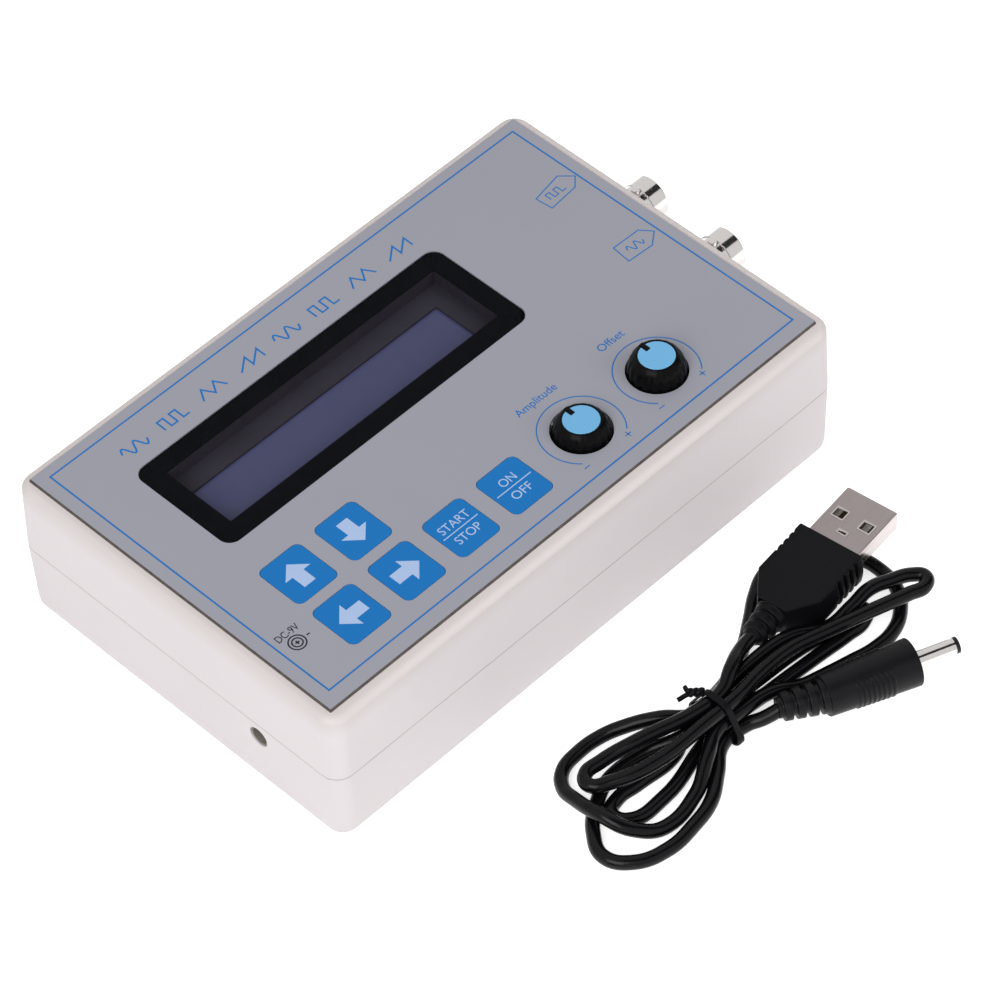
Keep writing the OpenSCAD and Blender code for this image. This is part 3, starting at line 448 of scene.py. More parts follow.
# bright nickel on turned brass: a mirror with the faint turning marks of the lathe
bright_nickel = plated("bright nickel plate", "#D9D5D3", "#E6E2E0", 0.6, 0.13, spread=0.03)
# acetal, turned: black with a low sheen
tip_acetal = moulded("turned acetal", "#0E0E10", "#141417", 0.5, 0.01, 0.36, patch=3, shine=0.3)
# the same PVC from another mould, with a more open satin
plug_pvc = moulded("moulded soft PVC, satin", "#0D0D10", "#121215", 0.6, 0.04, 0.4, patch=5,
                   shine=0.18)
fit(round_grip, "power_lead", "lead_rubber", plug_pvc, "dc_plug_body")
fit(round_barrel, "power_lead", "nickel", bright_nickel, "dc_plug_barrel")
finish(tip_acetal, "dc_plug_tip")
finish(plug_pvc, "dc_plug_body")
finish(bright_nickel, "dc_plug_barrel")

# ---- Bottom shell ----
# The lower half of the case, moulded in off-white ABS with a fine spark texture. It has a lip
# that centres the other half, posts for the board and deep bores for the case screws.

# ABS from a spark-eroded mould: off-white and even, with a fine matt texture
abs_plastic = moulded("spark-textured ABS", "#E6DFE1", "#DED6D8", 0.45, 0.02, 0.5, patch=28)
case_bottom = dressed("case_bottom", "bottom_shell", edge=0)
fit(case_bottom, "generator", "shell_plastic", abs_plastic, "bottom_shell")
finish(abs_plastic, "bottom_shell")

# ---- Main board ----
# A glass-fibre board under green solder mask, screwed to the bottom shell's posts. It carries
# two moulded chips, the crystal, three electrolytic capacitors and six key switches.
board_mask = new_material("green solder mask")
place = add(board_mask, "TexCoord", {})
turn = add(board_mask, "Mapping", {"Vector": place.outputs["Object"]})
# tracks run square to each other on the grid of the parts' pins and show as a lighter green
pin_pitch = 2.54
tracks = add(board_mask, "TexVoronoi", {"Vector": turn.outputs["Vector"],
                                        "Scale": 1 / (pin_pitch * MM)}, distance="CHEBYCHEV")
edges = add(board_mask, "MapRange", {"Value": tracks.outputs["Distance"], "From Min": 0.3,
                                     "From Max": 0.36})
greens = add(board_mask, "MixRGB", {"Fac": edges.outputs["Result"], "Color1": srgb("#14523A"),
                                    "Color2": srgb("#1F6B4C")})
step = add(board_mask, "Bump", {"Height": edges.outputs["Result"], "Strength": 0.4,
                                "Distance": 0.03 * MM})
shader = add(board_mask, "BsdfPrincipled", {
    "Base Color": greens.outputs["Color"], "Roughness": 0.3, "Normal": step.outputs["Normal"]})
add(board_mask, "OutputMaterial", {"Surface": shader.outputs["BSDF"]})
# epoxy moulding compound: a dull black with a fine mineral grain
chip_epoxy = moulded("epoxy moulding compound", "#202022", "#29292B", 0.3, 0.02, 0.55, patch=3)
# nickel silver, drawn: a pale warm grey with a soft sheen
crystal_can = plated("drawn nickel silver can", "#C4C1BD", "#D2CFCB", 0.5, 0.28)
# printed PVC sleeve, shrunk on an aluminium can: glossy dark blue
sleeve = moulded("shrunk PVC sleeve", "#1A2744", "#223052", 0.6, 0.01, 0.3, patch=2)
# nylon, moulded: a dull black
switch_nylon = moulded("moulded nylon, black", "#1C1C1F", "#242427", 0.4, 0.02, 0.5, patch=3)
finish(board_mask, "main_board", "lcd_board")
finish(chip_epoxy, "microcontroller", "output_amplifier")
finish(crystal_can, "crystal")
finish(sleeve, "capacitors")
finish(switch_nylon, "key_switches")

# ---- Potentiometers ----
# Sealed rotary potentiometers that stand on the board. Each has a dull metal case and a plain
# round shaft of turned aluminium.

# steel sheet, zinc-plated: a dull bluish grey
pot_case = plated("zinc-plated steel case", "#8C8E90", "#9A9C9E", 0.7, 0.4)
# aluminium, turned from drawn rod: light grey, with fine marks along the shaft
shaft_alloy = plated("turned aluminium", "#B9BABD", "#C6C7CA", 0.4, 0.3, (1, 1, 0.2))
finish(pot_case, "amplitude_pot", "offset_pot")
finish(shaft_alloy, "amplitude_shaft", "offset_shaft")

# ---- Output sockets ----
# Two bayonet sockets in black housings, which stand on the board and reach through the case.
# Each has a turned and nickelled brass barrel, a white insulator and a gilt contact.

# nylon with glass fibre: black, with a faint silky grain
housing_nylon = moulded("glass-filled nylon, black", "#1E1E21", "#28282B", 0.5, 0.03, 0.5, patch=6)
# PTFE, turned: a cool white with a waxy gloss
insulator_ptfe = moulded("turned PTFE", "#E6E4E0", "#DDDBD7", 0.5, 0.01, 0.4, patch=4)
finish(housing_nylon, "bnc_1_housing", "bnc_2_housing")
finish(insulator_ptfe, "bnc_1_insulator", "bnc_2_insulator")
finish(gilt, "bnc_1_contact", "bnc_2_contact")
for number in "12":
    barrel = dressed("socket_barrel_" + number, "bnc_%s_barrel" % number, edge=0.12)
    fit(barrel, "generator", "nickel", bright_nickel, "bnc_%s_barrel" % number)
    finish(bright_nickel, "bnc_%s_barrel" % number)

# ---- Power socket ----
# A small board-mounted socket behind a hole in the case's end: a black nylon block with a
# nickelled pin in its bore. Its round nose reaches into the hole.
nose_at, nose_r, nose_t, nose_l, nose_corners = (-69.6, -22.9, 15.6), 2.3, 0.4, 1.9, 48
nose_mid = nose_r - nose_t / 2
ring = []
for step in range(nose_corners):
    angle = math.tau * step / nose_corners
    ring.append((nose_at[0], nose_at[1] + nose_mid * math.cos(angle),
                 nose_at[2] + nose_mid * math.sin(angle)))
nose = traced("power_socket_nose", ring, closed=True)
raised(nose, (nose_l, 0, 0))
modify(nose, "SOLIDIFY", thickness=nose_t * MM, offset=0)
smooth(nose, 50)
# the same nylon in a grey-taupe, much lighter than the black housing
taupe_nylon = moulded("glass-filled nylon, grey-taupe", "#7C756F", "#8F8881", 0.4, 0.05, 0.6, patch=1,
                       shine=0.3)
fit(nose, "generator", "black_plastic", taupe_nylon)
finish(housing_nylon, "dc_jack")
finish(bright_nickel, "dc_jack_pin")

# ---- Display module ----
# A two-line character module that is screwed up to the top shell: a board, a frame of black
# painted steel, a polarising glass with a blue field, and a white light block behind it.

# baked paint on a steel frame: a soft black, a little purple
frame_paint = moulded("black paint on steel", "#312E37", "#393641", 0.5, 0.02, 0.5, patch=10,
                      shine=0.2)
# polariser over a blue liquid crystal cell: a deep slate blue, even and with a satin face
field_blue = moulded("blue liquid crystal cell", "#494C70", "#4E5074", 0.4, 0.004, 0.35, patch=25,
                     shine=0.3)
# acrylic, frosted: a cool even white that scatters light
light_acrylic = moulded("frosted acrylic", "#E9EAEC", "#E0E1E4", 0.4, 0.01, 0.45, patch=10)
# polyester, moulded: a plain satin black
header_polyester = moulded("moulded polyester, black", "#1A1A1C", "#222224", 0.4, 0.02, 0.5,
                           patch=3)
finish(frame_paint, "lcd_bezel")


def rounded(centre, half_l, half_w, radius, z, steps):
    """Points of a level rectangle with round corners, so far from its centre at its sides."""
    points = []
    for quarter, (cx, cy) in enumerate(((1, 1), (-1, 1), (-1, -1), (1, -1))):
        for step in range(steps + 1):
            angle = math.radians(90 * quarter + 90 * step / steps)
            points.append((centre[0] + cx * (half_l - radius) + radius * math.cos(angle),
                           centre[1] + cy * (half_w - radius) + radius * math.sin(angle), z))
    return points


# foam that lines the opening of the shell, from the display's frame up to the window's mask
field_at, field_half_l, field_half_w = (-10.8, 15.25), 36.8, 9.2
lining_t, lining_r, lining_low, lining_top = 1.5, 0.5, 33.5, 36.66
lining_drop, lining_lean = 1.1, 0.35
# how far off its place a vertex or a face is still found
slack = 0.1
lining = traced("display_lining", rounded(
    field_at, field_half_l + lining_t / 2, field_half_w + lining_t / 2, lining_r, lining_low,
    steps=4), closed=True)
raised(lining, (0, 0, lining_top - lining_low))
modify(lining, "SOLIDIFY", thickness=lining_t * MM, offset=0, use_even_offset=True)
# past the frame's long far edge the foam reaches down beside it, and bulges inwards
far_side, foot = (field_at[1] + field_half_w - slack) * MM, (lining_low + slack) * MM
for vertex in lining.data.vertices:
    if vertex.co.y > far_side and vertex.co.z < foot:
        vertex.co.z -= lining_drop * MM
        vertex.co.y -= lining_lean * MM
smooth(lining, 50)
# closed-cell foam: a dead black that light greys evenly
foam = moulded("closed-cell foam, black", "#2E2B34", "#36323D", 0.3, 0.05, 0.7, patch=6,
               shine=0.15)
fit(lining, "generator", "black_plastic", foam)
finish(field_blue, "lcd_glass")
finish(light_acrylic, "lcd_backlight")
finish(header_polyester, "lcd_header")

# ---- Top shell ----
# The upper half of the case, of the same ABS. Its flat face has openings for the display, the
# keys and the knobs, and its joint with the lower half shows as a fine line.
case_top = dressed("case_top", "top_shell", edge=0)
# the same ABS with painted shade: towards its rounded upper edge its colour darkens a little, to
# damp the light that edge catches
edge_shaded_abs = moulded("spark-textured ABS, painted shade at the upper edge", "#E6DFE1", "#DED6D8", 0.45, 0.02, 0.5,
                      patch=28)
shade_from, shade_to = 31.8, 36.2
shader = edge_shaded_abs.node_tree.nodes["Principled BSDF"]
unshaded = shader.inputs["Base Color"].links[0].from_socket
place = add(edge_shaded_abs, "TexCoord", {})
where = add(edge_shaded_abs, "SeparateXYZ", {"Vector": place.outputs["Object"]})
# painted shade: the colour darkens with height over the rounded upper edge
shade_ramp = add(edge_shaded_abs, "MapRange", {
    "Value": where.outputs["Z"], "From Min": shade_from * MM, "From Max": shade_to * MM})
tint = add(edge_shaded_abs, "MixRGB", {"Fac": shade_ramp.outputs["Result"], "Color1": unshaded,
                                   "Color2": srgb("#D8D0CE")})
edge_shaded_abs.node_tree.links.new(tint.outputs["Color"], shader.inputs["Base Color"])
fit(case_top, "generator", "shell_plastic", edge_shaded_abs, "top_shell")
finish(abs_plastic, "top_shell")

# the gap between the halves: a dark band at the bottom of the chamfers along the joint
case_half_l, case_half_w, corner_r, joint_z = 70.0, 45.0, 4.0, 19.4
gap_in, gap_h, gap_t = 0.1, 0.2, 0.06
joint_gap = traced("case_joint_gap", rounded(
    (0, 0), case_half_l - gap_in, case_half_w - gap_in, corner_r - gap_in, joint_z - gap_h / 2,
    steps=8), closed=True)
raised(joint_gap, (0, 0, gap_h))
modify(joint_gap, "SOLIDIFY", thickness=gap_t * MM, offset=0, use_even_offset=True)
# ABS deep in a joint: shaded and a little dusty, lighter in patches
joint_shade = moulded("shaded joint in ABS", "#9A9192", "#B9B0B1", 0.5, 0.01, 0.7, patch=9,
                      shine=0.2)
fit(joint_gap, "generator", "shell_plastic", joint_shade)

# ---- Panel label ----
# A grey polyester film, printed on its back and glued to the top face. Its outer cut edge is
# coloured a dark brown.
label_half_l, label_half_w = 66.9, 41.5
# polyester film over grey ink: an even, faintly bluish grey with a satin face
film = moulded("printed polyester film", "#9C9DA8", "#9899A4", 0.4, 0.008, 0.42, patch=40)
# the outer cut edge: a dark brown, ragged, lighter in patches
dark_edge = moulded("dark cut edge of the film", "#3A3431", "#6B635E", 0.5, 0.02, 0.6, patch=1.6,
                  shine=0.2)
label = dressed("film_label", "panel_label", edge=0, angle=0)
fit(label, "generator", "label_film", film, "panel_label")
label.data.materials.append(dark_edge)
# on the two near sides the edge runs out a little at the foot, which widens the dark cut edge
# there
cut_slant, foot_z, near_edge = 0.34, 36.9, 0.05
for vertex in label.data.vertices:
    if vertex.co.z < foot_z * MM:
        for i, half in enumerate((label_half_l, label_half_w)):
            if vertex.co[i] < (near_edge - half) * MM:
                vertex.co[i] -= cut_slant * MM
# on the far sides it reaches a little way over the rounded edge
far_x, far_y = 0.4, 1.0
for vertex in label.data.vertices:
    if vertex.co.x > (label_half_l - near_edge) * MM:
        vertex.co.x += far_x * MM
    if vertex.co.y > (label_half_w - near_edge) * MM:
        vertex.co.y += far_y * MM
# the cut faces along the label's outline are coloured dark, but not those round its openings
for face in label.data.polygons:
    outer = max(abs(face.center.x) / label_half_l, abs(face.center.y) / label_half_w) / MM
    if abs(face.normal.z) < 0.95 and outer > 0.99:
        face.material_index = 1
finish(film, "panel_label")

# ---- Window ----
# A clear acrylic pane let into the label, flush with it. Its back is printed black round the
# display's field.

# clear acrylic with a coat that kills its reflection: it takes a little light and mirrors none
pane_acrylic = new_material("clear acrylic")
place = add(pane_acrylic, "TexCoord", {})
turn = add(pane_acrylic, "Mapping", {"Vector": place.outputs["Object"]})
# hairline rubs that dull the pane a little, in patches
rubs = add(pane_acrylic, "TexNoise", {"Vector": turn.outputs["Vector"], "Scale": 1 / (3 * MM),
                                      "Detail": 5})
haze = add(pane_acrylic, "MapRange", {"Value": rubs.outputs["Fac"], "To Min": 0.035,
                                      "To Max": 0.065})
shader = add(pane_acrylic, "BsdfPrincipled", {
    "Base Color": srgb("#000000"), "Alpha": haze.outputs["Result"], "Roughness": 0.08,
    "Specular IOR Level": 0.0})
add(pane_acrylic, "OutputMaterial", {"Surface": shader.outputs["BSDF"]})
# printing ink seen through the pane: an even, deep blue-black
mask_ink = moulded("screen-printed ink, black", "#0D0E12", "#111216", 0.4, 0.004, 0.6, patch=12,
                   shine=0.04)
finish(pane_acrylic, "display_window")
finish(mask_ink, "display_mask")

# ---- Panel print ----
# Everything that is printed on the label: a border line, a row of the four waveforms, twice
# over, the knobs' names with their scales, and the marks at the sockets.
panel_z = 37.2
ink_t = 0.02
# the ink starts just above the film, so that no face lies in another
ink_z = panel_z + 0.005


def printed(name, lines, width):
    """Lines in the plane of the panel, printed in that width. Each is (points, closed)."""
    strokes = []
    for line, closed in lines:
        stroke = traced("stroke", [(x, y, ink_z) for x, y in line], closed)
        raised(stroke, (0, 0, ink_t))
        modify(stroke, "SOLIDIFY", thickness=width * MM, offset=0, use_even_offset=True)
        strokes.append(stroke)
    return joined(name, strokes)


def lettered(text, at, size):
    """Flat letters that fill a field of that width and height, centred on a place."""
    bpy.ops.object.select_all(action="DESELECT")
    bpy.ops.object.text_add()
    letters = bpy.context.object
    letters.data.body = text
    # this only parts the two faces; ink_t is their distance in the end
    letters.data.extrude = 0.01
    bpy.ops.object.convert(target="MESH")
    low, high = (Vector(f(v.co[i] for v in letters.data.vertices) for i in range(3))
                 for f in (min, max))
    for vertex in letters.data.vertices:
        for i in range(2):
            share = (vertex.co[i] - low[i]) / (high[i] - low[i]) - 0.5
            vertex.co[i] = (at[i] + share * size[i]) * MM
        vertex.co.z = (ink_z + (ink_t if vertex.co.z > 0 else 0)) * MM
    return letters


def arc(centre, radius, start, end, steps=48):
    """Points of an arc, from one angle to another."""
    turns = (math.radians(start + (end - start) * i / steps) for i in range(steps + 1))
    return [(centre[0] + radius * math.cos(a), centre[1] + radius * math.sin(a)) for a in turns]


def wave(shape, left, length, middle, height):
    """Points of a waveform: two periods that start at its left end."""
    half, points = height / 2, 40
    if shape == "sine":
        return [(left + length * i / points, middle + half * math.sin(2 * math.tau * i / points))
                for i in range(points + 1)]
    quarter = length / 8
    steps = {"square": ((0, -1), (0, 1), (2, 1), (2, -1), (4, -1), (4, 1), (6, 1), (6, -1),
                        (8, -1)),
             "triangle": ((0, -1), (2, 1), (4, -1), (6, 1), (8, -1)),
             "ramp": ((0, -1), (4, 1), (4, -1), (8, 1), (8, -1))}[shape]
    return [(left + quarter * x, middle + half * y) for x, y in steps]


def dash(x, y, half):
    """A printed line along the panel, from its middle and half its length."""
    return [(x - half, y), (x + half, y)], False


def plus(x, y, half):
    """The two printed lines of a plus sign."""
    return [dash(x, y, half), ([(x, y - half), (x, y + half)], False)]


amplitude_at, offset_at = (15.1, -27.5), (36.5, -27.5)
border = [([(-63.9, -38), (64.6, -38), (64.6, 40), (-63.9, 40)], True)]
row_from, row_pitch, row_at, icon_l, icon_h = -50.5, 10.3, 33.7, 6.4, 2.7
waves = [(wave(shape, row_from + row_pitch * i, icon_l, row_at, icon_h), False)
         for i, shape in enumerate(("sine", "square", "triangle", "ramp") * 2)]
scale_r, scale_from, scale_to = 8.85, 225, -45
scales = [(arc(centre, scale_r, scale_from, scale_to), False)
          for centre in (amplitude_at, offset_at)]
plus_half, minus_half = 0.75, 0.7
marks = []
for more, less in (((20.5, -34.9), (8.9, -35.0)), ((42.0, -34.6), (30.1, -34.9))):
    marks += plus(*more, plus_half) + [dash(*less, minus_half)]
tags = [([(54.0, 22.9), (54.4, 18.7), (61.8, 19.4), (64.1, 21.6), (61.6, 24.3)], True),
        (wave("square", 56.0, 4.4, 21.4, 1.7), False),
        ([(54.7, 1.8), (54.2, -3.0), (60.6, -3.4), (63.7, -1.0), (61.7, 1.6)], True),
        (wave("sine", 56.2, 4.2, -0.8, 1.9), False)]
blue_print = joined("panel_print", [
    printed("border", border, width=0.36), printed("waves", waves, width=0.38),
    printed("scales", scales, width=0.25), printed("marks", marks, width=0.22),
    printed("tags", tags, width=0.24),
    lettered("Amplitude", (14.5, -15.75), (10.8, 2.45)),
    lettered("Offset", (35.9, -15.3), (6.7, 1.9))])

# the power socket's mark: a ring round a ring round a plus, and a minus beside them
jack_x, jack_y, outer_ring, inner_ring = -59.9, -25.3, 1.78, 1.08
sign_half, aside, aside_half = 0.5, 2.8, 0.4
rings = [(arc((jack_x, jack_y), radius, 0, 360)[:-1], True) for radius in (outer_ring, inner_ring)]
signs = plus(jack_x, jack_y, sign_half) + [dash(jack_x + aside, jack_y, aside_half)]
dark_print = joined("socket_print", [
    printed("rings", rings + signs, width=0.3),
    lettered("DC-9V", (-59.7, -22.2), (5.5, 1.7))])
# printing ink under the film's satin face: even colours, with hardly any gloss of their own
blue_ink = moulded("screen-printed ink, blue", "#1C73BE", "#196DB6", 0.4, 0.004, 0.45, patch=10,
                   shine=0.25)
dark_ink = moulded("screen-printed ink, dark grey", "#1B1C24", "#22232B", 0.4, 0.004, 0.5, patch=4,
                   shine=0.3)
fit(blue_print, "generator", "label_film", blue_ink)
fit(dark_print, "generator", "label_film", dark_ink)

# ---- Keys ----
# Six keys of blue printed film over plungers that press the switches. Four carry block arrows,
# and two carry words above and below a thin line.

# polyester film over blue ink: a strong even blue with a satin face
key_blue = moulded("printed polyester film, blue", "#0F74BE", "#0C6FB8", 0.4, 0.006, 0.4, patch=8,
                   shine=0.25)
# thin white ink that lets the blue through
glyph_ink = moulded("screen-printed ink, pale blue", "#AFC5E8", "#A8BFE4", 0.4, 0.004, 0.45,
                    patch=5, shine=0.3)
# ABS without pigment: a warm milky white
plunger_abs = moulded("moulded ABS, natural", "#E4E0DA", "#DCD8D1", 0.4, 0.01, 0.45, patch=5)
# outline of a block arrow that points to the panel's top
arrow = ((0, 3.35), (3.3, 0.1), (1.45, 0.1), (1.45, -3.3), (-1.45, -3.3), (-1.45, 0.1),
         (-3.3, 0.1))
# the line between two words: half its length, how far it is off the key's middle, and its width
line_half, line_up, line_w = 4.6, 0.1, 0.24
word_h, word_up = 2.05, 2.0


def filled(name, line):
    """A flat printed shape with that outline."""
    piece = traced(name, [(x, y, ink_z) for x, y in line], True)
    bpy.ops.object.mode_set(mode="EDIT")
    bpy.ops.mesh.select_all(action="SELECT")
    bpy.ops.mesh.edge_face_add()
    bpy.ops.mesh.extrude_region_move(TRANSFORM_OT_translate={"value": (0, 0, ink_t * MM)})
    bpy.ops.object.mode_set(mode="OBJECT")
    outward(piece)
    return piece


first_key, key_pitch, key_row = (-48.05, -27.9), 14.67, 14.65


def key_centre(column, row):
    """The middle of a key, counted from the lower left one."""
    return first_key[0] + column * key_pitch, first_key[1] + row * key_row


for key, centre, turn in (("up", key_centre(0, 1), 0), ("down", key_centre(1, 1), 180),
                          ("left", key_centre(0, 0), 90), ("right", key_centre(1, 0), -90)):
    spun = Matrix.Rotation(math.radians(turn), 2)
    outline = [spun @ Vector(corner) + Vector(centre) for corner in arrow]
    glyph = filled("arrow_" + key, outline)
    fit(glyph, "key_" + key, "key_film", glyph_ink)
for key, (x, y), words in (("start_stop", key_centre(2, 0), (("START", 7.6), ("STOP", 6.3))),
                           ("on_off", key_centre(3, 0), (("ON", 3.9), ("OFF", 4.9)))):
    divider = printed("divider", [dash(x, y + line_up, line_half)], line_w)
    glyph = joined("words_" + key, [divider] + [
        lettered(word, (x, y + up), (width, word_h))
        for (word, width), up in zip(words, (word_up, -word_up))])
    fit(glyph, "key_" + key, "key_film", glyph_ink)
for key in ("up", "down", "left", "right", "start_stop", "on_off"):
    pad = dressed("pad_" + key, "key_" + key, edge=0.06)
    fit(pad, "key_" + key, "key_film", key_blue, "key_" + key)
    finish(key_blue, "key_" + key)
    finish(plunger_abs, "plunger_" + key)

# ---- Knobs ----
# Two fluted knobs of glossy black ABS, pushed on the shafts. A light blue cap is pressed into
# the top of each, with a notch that the knob's raised pointer fills.
cap_r, cap_t, cap_edge = 3.78, 1.0, 0.3
notch_w, notch_from = 1.15, 2.2
knob_h, foot_r, rim_r, knob_edge = 9.0, 6.1, 4.12, 0.08
# radius and height of each step of the rounded shoulder, from the foot up
shoulder = ((foot_r, -4.6), (5.92, -3.2), (5.52, -1.8), (4.95, -0.75), (4.3, -0.12), (rim_r, 0))
seat_r, bore_r, bore_h = 3.83, 3.0, 7.0
flutes, flute_depth, flute_run, flute_power = 18, 0.28, 3.5, 3
pointer_w, pointer_from, pointer_to, pointer_lift, pointer_edge = 1.05, 2.25, 4.45, 0.08, 0.1
# ABS from a polished mould: a deep black with soft highlights
knob_black = moulded("moulded ABS, black", "#060607", "#09090A", 0.6, 0.02, 0.3, patch=4,
                     shine=0.08)
# the same ABS in sky blue
cap_blue = moulded("moulded ABS, light blue", "#72B6E2", "#6DB1DE", 0.4, 0.01, 0.3, patch=6,
                   shine=0.4)


def pick(piece, low, high):
    """Selects, in edit mode, the level faces of a piece that lie between two heights."""
    bpy.ops.object.mode_set(mode="OBJECT")
    for part in (piece.data.vertices, piece.data.edges, piece.data.polygons):
        for item in part:
            item.select = False
    for face in piece.data.polygons:
        face.select = abs(face.normal.z) > 0.9 and low * MM < face.center.z < high * MM
    bpy.ops.object.mode_set(mode="EDIT")
    bpy.ops.mesh.select_mode(type="FACE")


def fluted_knob():
    """A knob with its top at the height 0: a round body with a rounded shoulder, a seat for the
    cap, a bore for the shaft, flutes all round and a raised pointer."""
    shoulder_low = shoulder[0][1]
    bpy.ops.object.select_all(action="DESELECT")
    bpy.ops.mesh.primitive_cylinder_add(vertices=8 * flutes, radius=foot_r * MM,
                                        depth=(knob_h + shoulder_low) * MM)
    knob = bpy.context.object
    placed(knob, (0, 0, (shoulder_low - knob_h) / 2))
    pick(knob, shoulder_low - slack, shoulder_low + slack)
    for (wide, low), (narrow, high) in zip(shoulder, shoulder[1:]):
        bpy.ops.mesh.extrude_region_move(
            TRANSFORM_OT_translate={"value": (0, 0, (high - low) * MM)})
        bpy.ops.transform.resize(value=(narrow / wide, narrow / wide, 1))
    bpy.ops.mesh.inset(thickness=(rim_r - seat_r) * MM)
    bpy.ops.mesh.extrude_region_move(TRANSFORM_OT_translate={"value": (0, 0, -cap_t * MM)})
    pick(knob, -knob_h - slack, -knob_h + slack)
    bpy.ops.mesh.inset(thickness=(foot_r - bore_r) * MM)
    bpy.ops.mesh.extrude_region_move(TRANSFORM_OT_translate={"value": (0, 0, bore_h * MM)})
    bpy.ops.object.mode_set(mode="OBJECT")
    # the flutes fade out towards the top, and a high power leaves broad ribs between them
    for vertex in knob.data.vertices:
        x, y, z = vertex.co
        if math.hypot(x, y) > (seat_r + slack) * MM:
            share = (0.5 - 0.5 * math.cos(flutes * math.atan2(y, x))) ** flute_power
            share *= min(1, -z / (flute_run * MM))
            inward = 1 - flute_depth * MM * share / math.hypot(x, y)
            vertex.co.x, vertex.co.y = x * inward, y * inward
    modify(knob, "BEVEL", width=knob_edge * MM, segments=2, limit_method="ANGLE",
           angle_limit=math.radians(60))
    bpy.ops.object.select_all(action="DESELECT")
    bpy.ops.mesh.primitive_cube_add(size=1)
    pointer = bpy.context.object
    pointer.scale = (pointer_w * MM, (pointer_to - pointer_from) * MM, (cap_t + pointer_lift) * MM)
    bpy.ops.object.transform_apply(scale=True)
    placed(pointer, (0, (pointer_to + pointer_from) / 2, (pointer_lift - cap_t) / 2))
    modify(pointer, "BEVEL", width=pointer_edge * MM, segments=2)
    return joined("knob", [knob, pointer])


amplitude_top, offset_top = 40.3, 41.6
for name, centre, top in (("amplitude", amplitude_at, amplitude_top),
                          ("offset", offset_at, offset_top)):
    body = name + "_control"
    grip = fluted_knob()
    grip.name = name + "_grip"
    smooth(grip, 35)
    placed(grip, (*centre, top))
    bpy.ops.object.select_all(action="DESELECT")
    bpy.ops.mesh.primitive_cylinder_add(vertices=96, radius=cap_r * MM, depth=cap_t * MM)
    disc = bpy.context.object
    disc.name = name + "_disc"
    bpy.ops.mesh.primitive_cube_add(size=1, location=(0, (notch_from + cap_r) * MM, 0))
    cutter = bpy.context.object
    cutter.scale = (notch_w * MM, 2 * cap_r * MM, 4 * cap_t * MM)
    modify(disc, "BOOLEAN", operation="DIFFERENCE", object=cutter, solver="EXACT")
    bpy.data.objects.remove(cutter)
    modify(disc, "BEVEL", width=cap_edge * MM, segments=4, limit_method="ANGLE",
           angle_limit=math.radians(40))
    smooth(disc)
    placed(disc, (*centre, top - cap_t / 2))
    fit(grip, body, "knob_plastic", knob_black, name + "_knob")
    fit(disc, body, "cap_plastic", cap_blue, name + "_cap")
    finish(knob_black, name + "_knob")
    finish(cap_blue, name + "_cap")

# ---- Screws ----
# Self-tapping screws of zinc-plated steel with cross slots: four long ones from below hold the
# halves together, and four short ones each hold the main board and the display.

# steel, zinc-plated and passivated: a bluish silver grey
zinc = plated("zinc-plated steel", "#B4B4B8", "#C4C4C8", 0.5, 0.32)
finish(zinc, "case_screws", "board_screws", "display_screws")

# ---- Table and light ----
# A seamless white table under two broad soft lights, with a white tent all round. To the camera
# the table is as white as paper, and it keeps a soft shadow.
table_width = 6.0
# the table lies a hair below the case's underside, so that the two don't flicker
table_z = -0.0001
bpy.ops.object.select_all(action="DESELECT")
bpy.ops.mesh.primitive_plane_add(size=table_width, location=(0, 0, table_z))
table = bpy.context.object
table.name = "table"
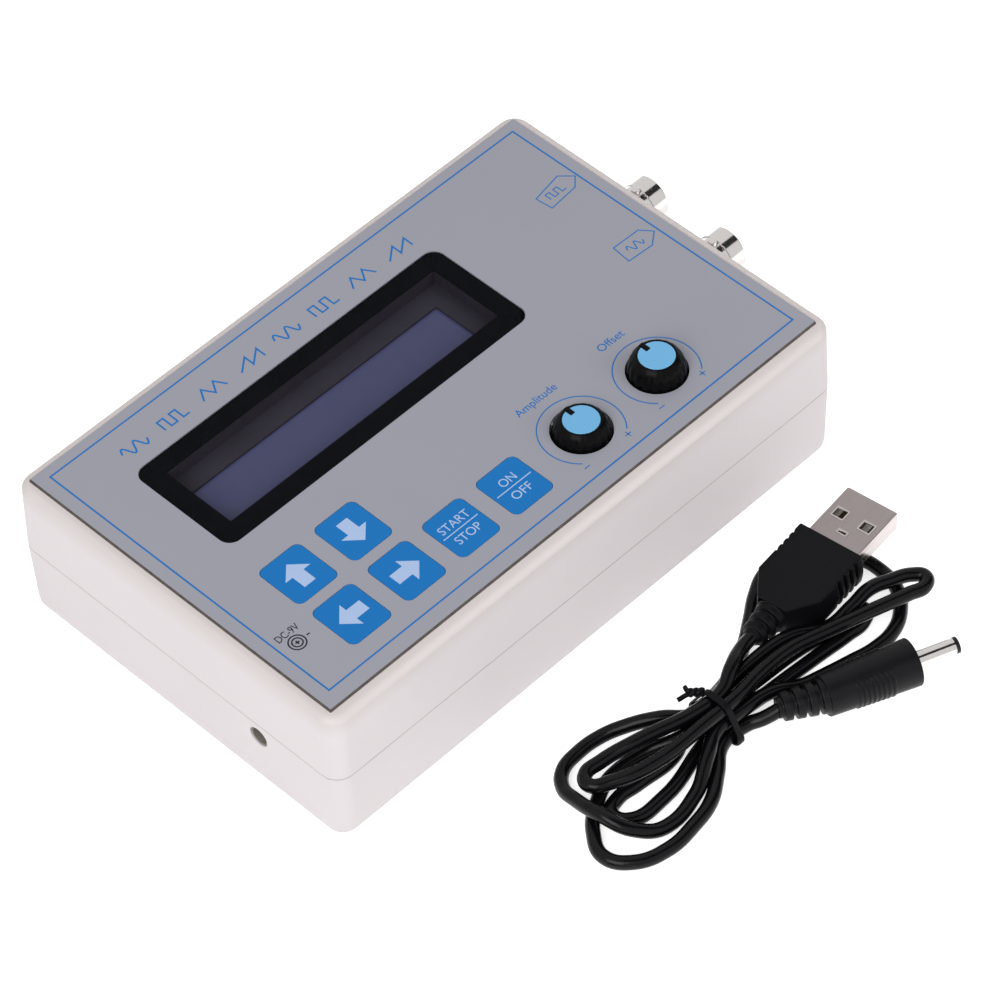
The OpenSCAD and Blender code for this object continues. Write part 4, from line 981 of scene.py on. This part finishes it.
# seamless paper: matt, and as bright as a lit background to the camera and to mirrors
paper = new_material("white table")
matt = add(paper, "BsdfDiffuse", {"Color": (0.8, 0.8, 0.8, 1)})
glow = add(paper, "Emission", {"Color": (1, 1, 1, 1), "Strength": 0.7})
both = add(paper, "AddShader", {0: matt.outputs["BSDF"], 1: glow.outputs["Emission"]})
ray = add(paper, "LightPath", {})
seen = add(paper, "Math", {0: ray.outputs["Is Camera Ray"], 1: ray.outputs["Is Glossy Ray"]},
           operation="MAXIMUM")
seen = add(paper, "Math", {0: seen.outputs["Value"], 1: ray.outputs["Is Transmission Ray"]},
           operation="MAXIMUM")
mix = add(paper, "MixShader", {0: seen.outputs["Value"], 1: matt.outputs["BSDF"],
                               2: both.outputs["Shader"]})
add(paper, "OutputMaterial", {"Surface": mix.outputs["Shader"]})
table.data.materials.append(paper)

# The tent is white. A mirror shows the broad dark gap between its two panels, where the Y of a
# direction lies within gap_half of gap_at.
tent = bpy.data.worlds.new("white tent")
bpy.context.scene.world = tent
tent.use_nodes = True
tent.node_tree.nodes.clear()
tent_level, mirror_level, gap_level = 0.45, 0.82, 0.03
look = add(tent, "TexCoord", {})
gap_at, gap_half = -0.26, 0.23
way = add(tent, "SeparateXYZ", {"Vector": look.outputs["Generated"]})
gap = add(tent, "Math", {0: way.outputs["Y"], 1: gap_at, 2: gap_half}, operation="COMPARE")
panels = add(tent, "Math", {0: gap.outputs["Value"], 1: gap_level - mirror_level,
                            2: mirror_level}, operation="MULTIPLY_ADD")
ray = add(tent, "LightPath", {})
mirrored = add(tent, "Mix", {"Factor": ray.outputs["Is Glossy Ray"], "A": tent_level,
                             "B": panels.outputs["Value"]})
seen = add(tent, "Math", {0: ray.outputs["Is Camera Ray"], 1: ray.outputs["Is Transmission Ray"]},
           operation="MAXIMUM")
level = add(tent, "Mix", {"Factor": seen.outputs["Value"], "A": mirrored.outputs["Result"],
                          "B": 1.0})
light = add(tent, "Background", {"Color": (1, 1, 1, 1), "Strength": level.outputs["Result"]})
add(tent, "OutputWorld", {"Surface": light.outputs["Background"]})
# the key light beyond the short side shows in glossy surfaces, and the other one only fills
lamp_width = 1.6
for place, power, shines in (((-1.7, -0.6, 1.6), 33, True), ((0.9, -1.9, 1.4), 21, False)):
    bpy.ops.object.light_add(type="AREA", location=place)
    lamp = bpy.context.object
    lamp.data.size = lamp_width
    lamp.data.energy = power
    lamp.visible_glossy = shines
    lamp.rotation_euler = Vector(place).to_track_quat("Z", "Y").to_euler()
bpy.context.scene.view_settings.view_transform = "Standard"
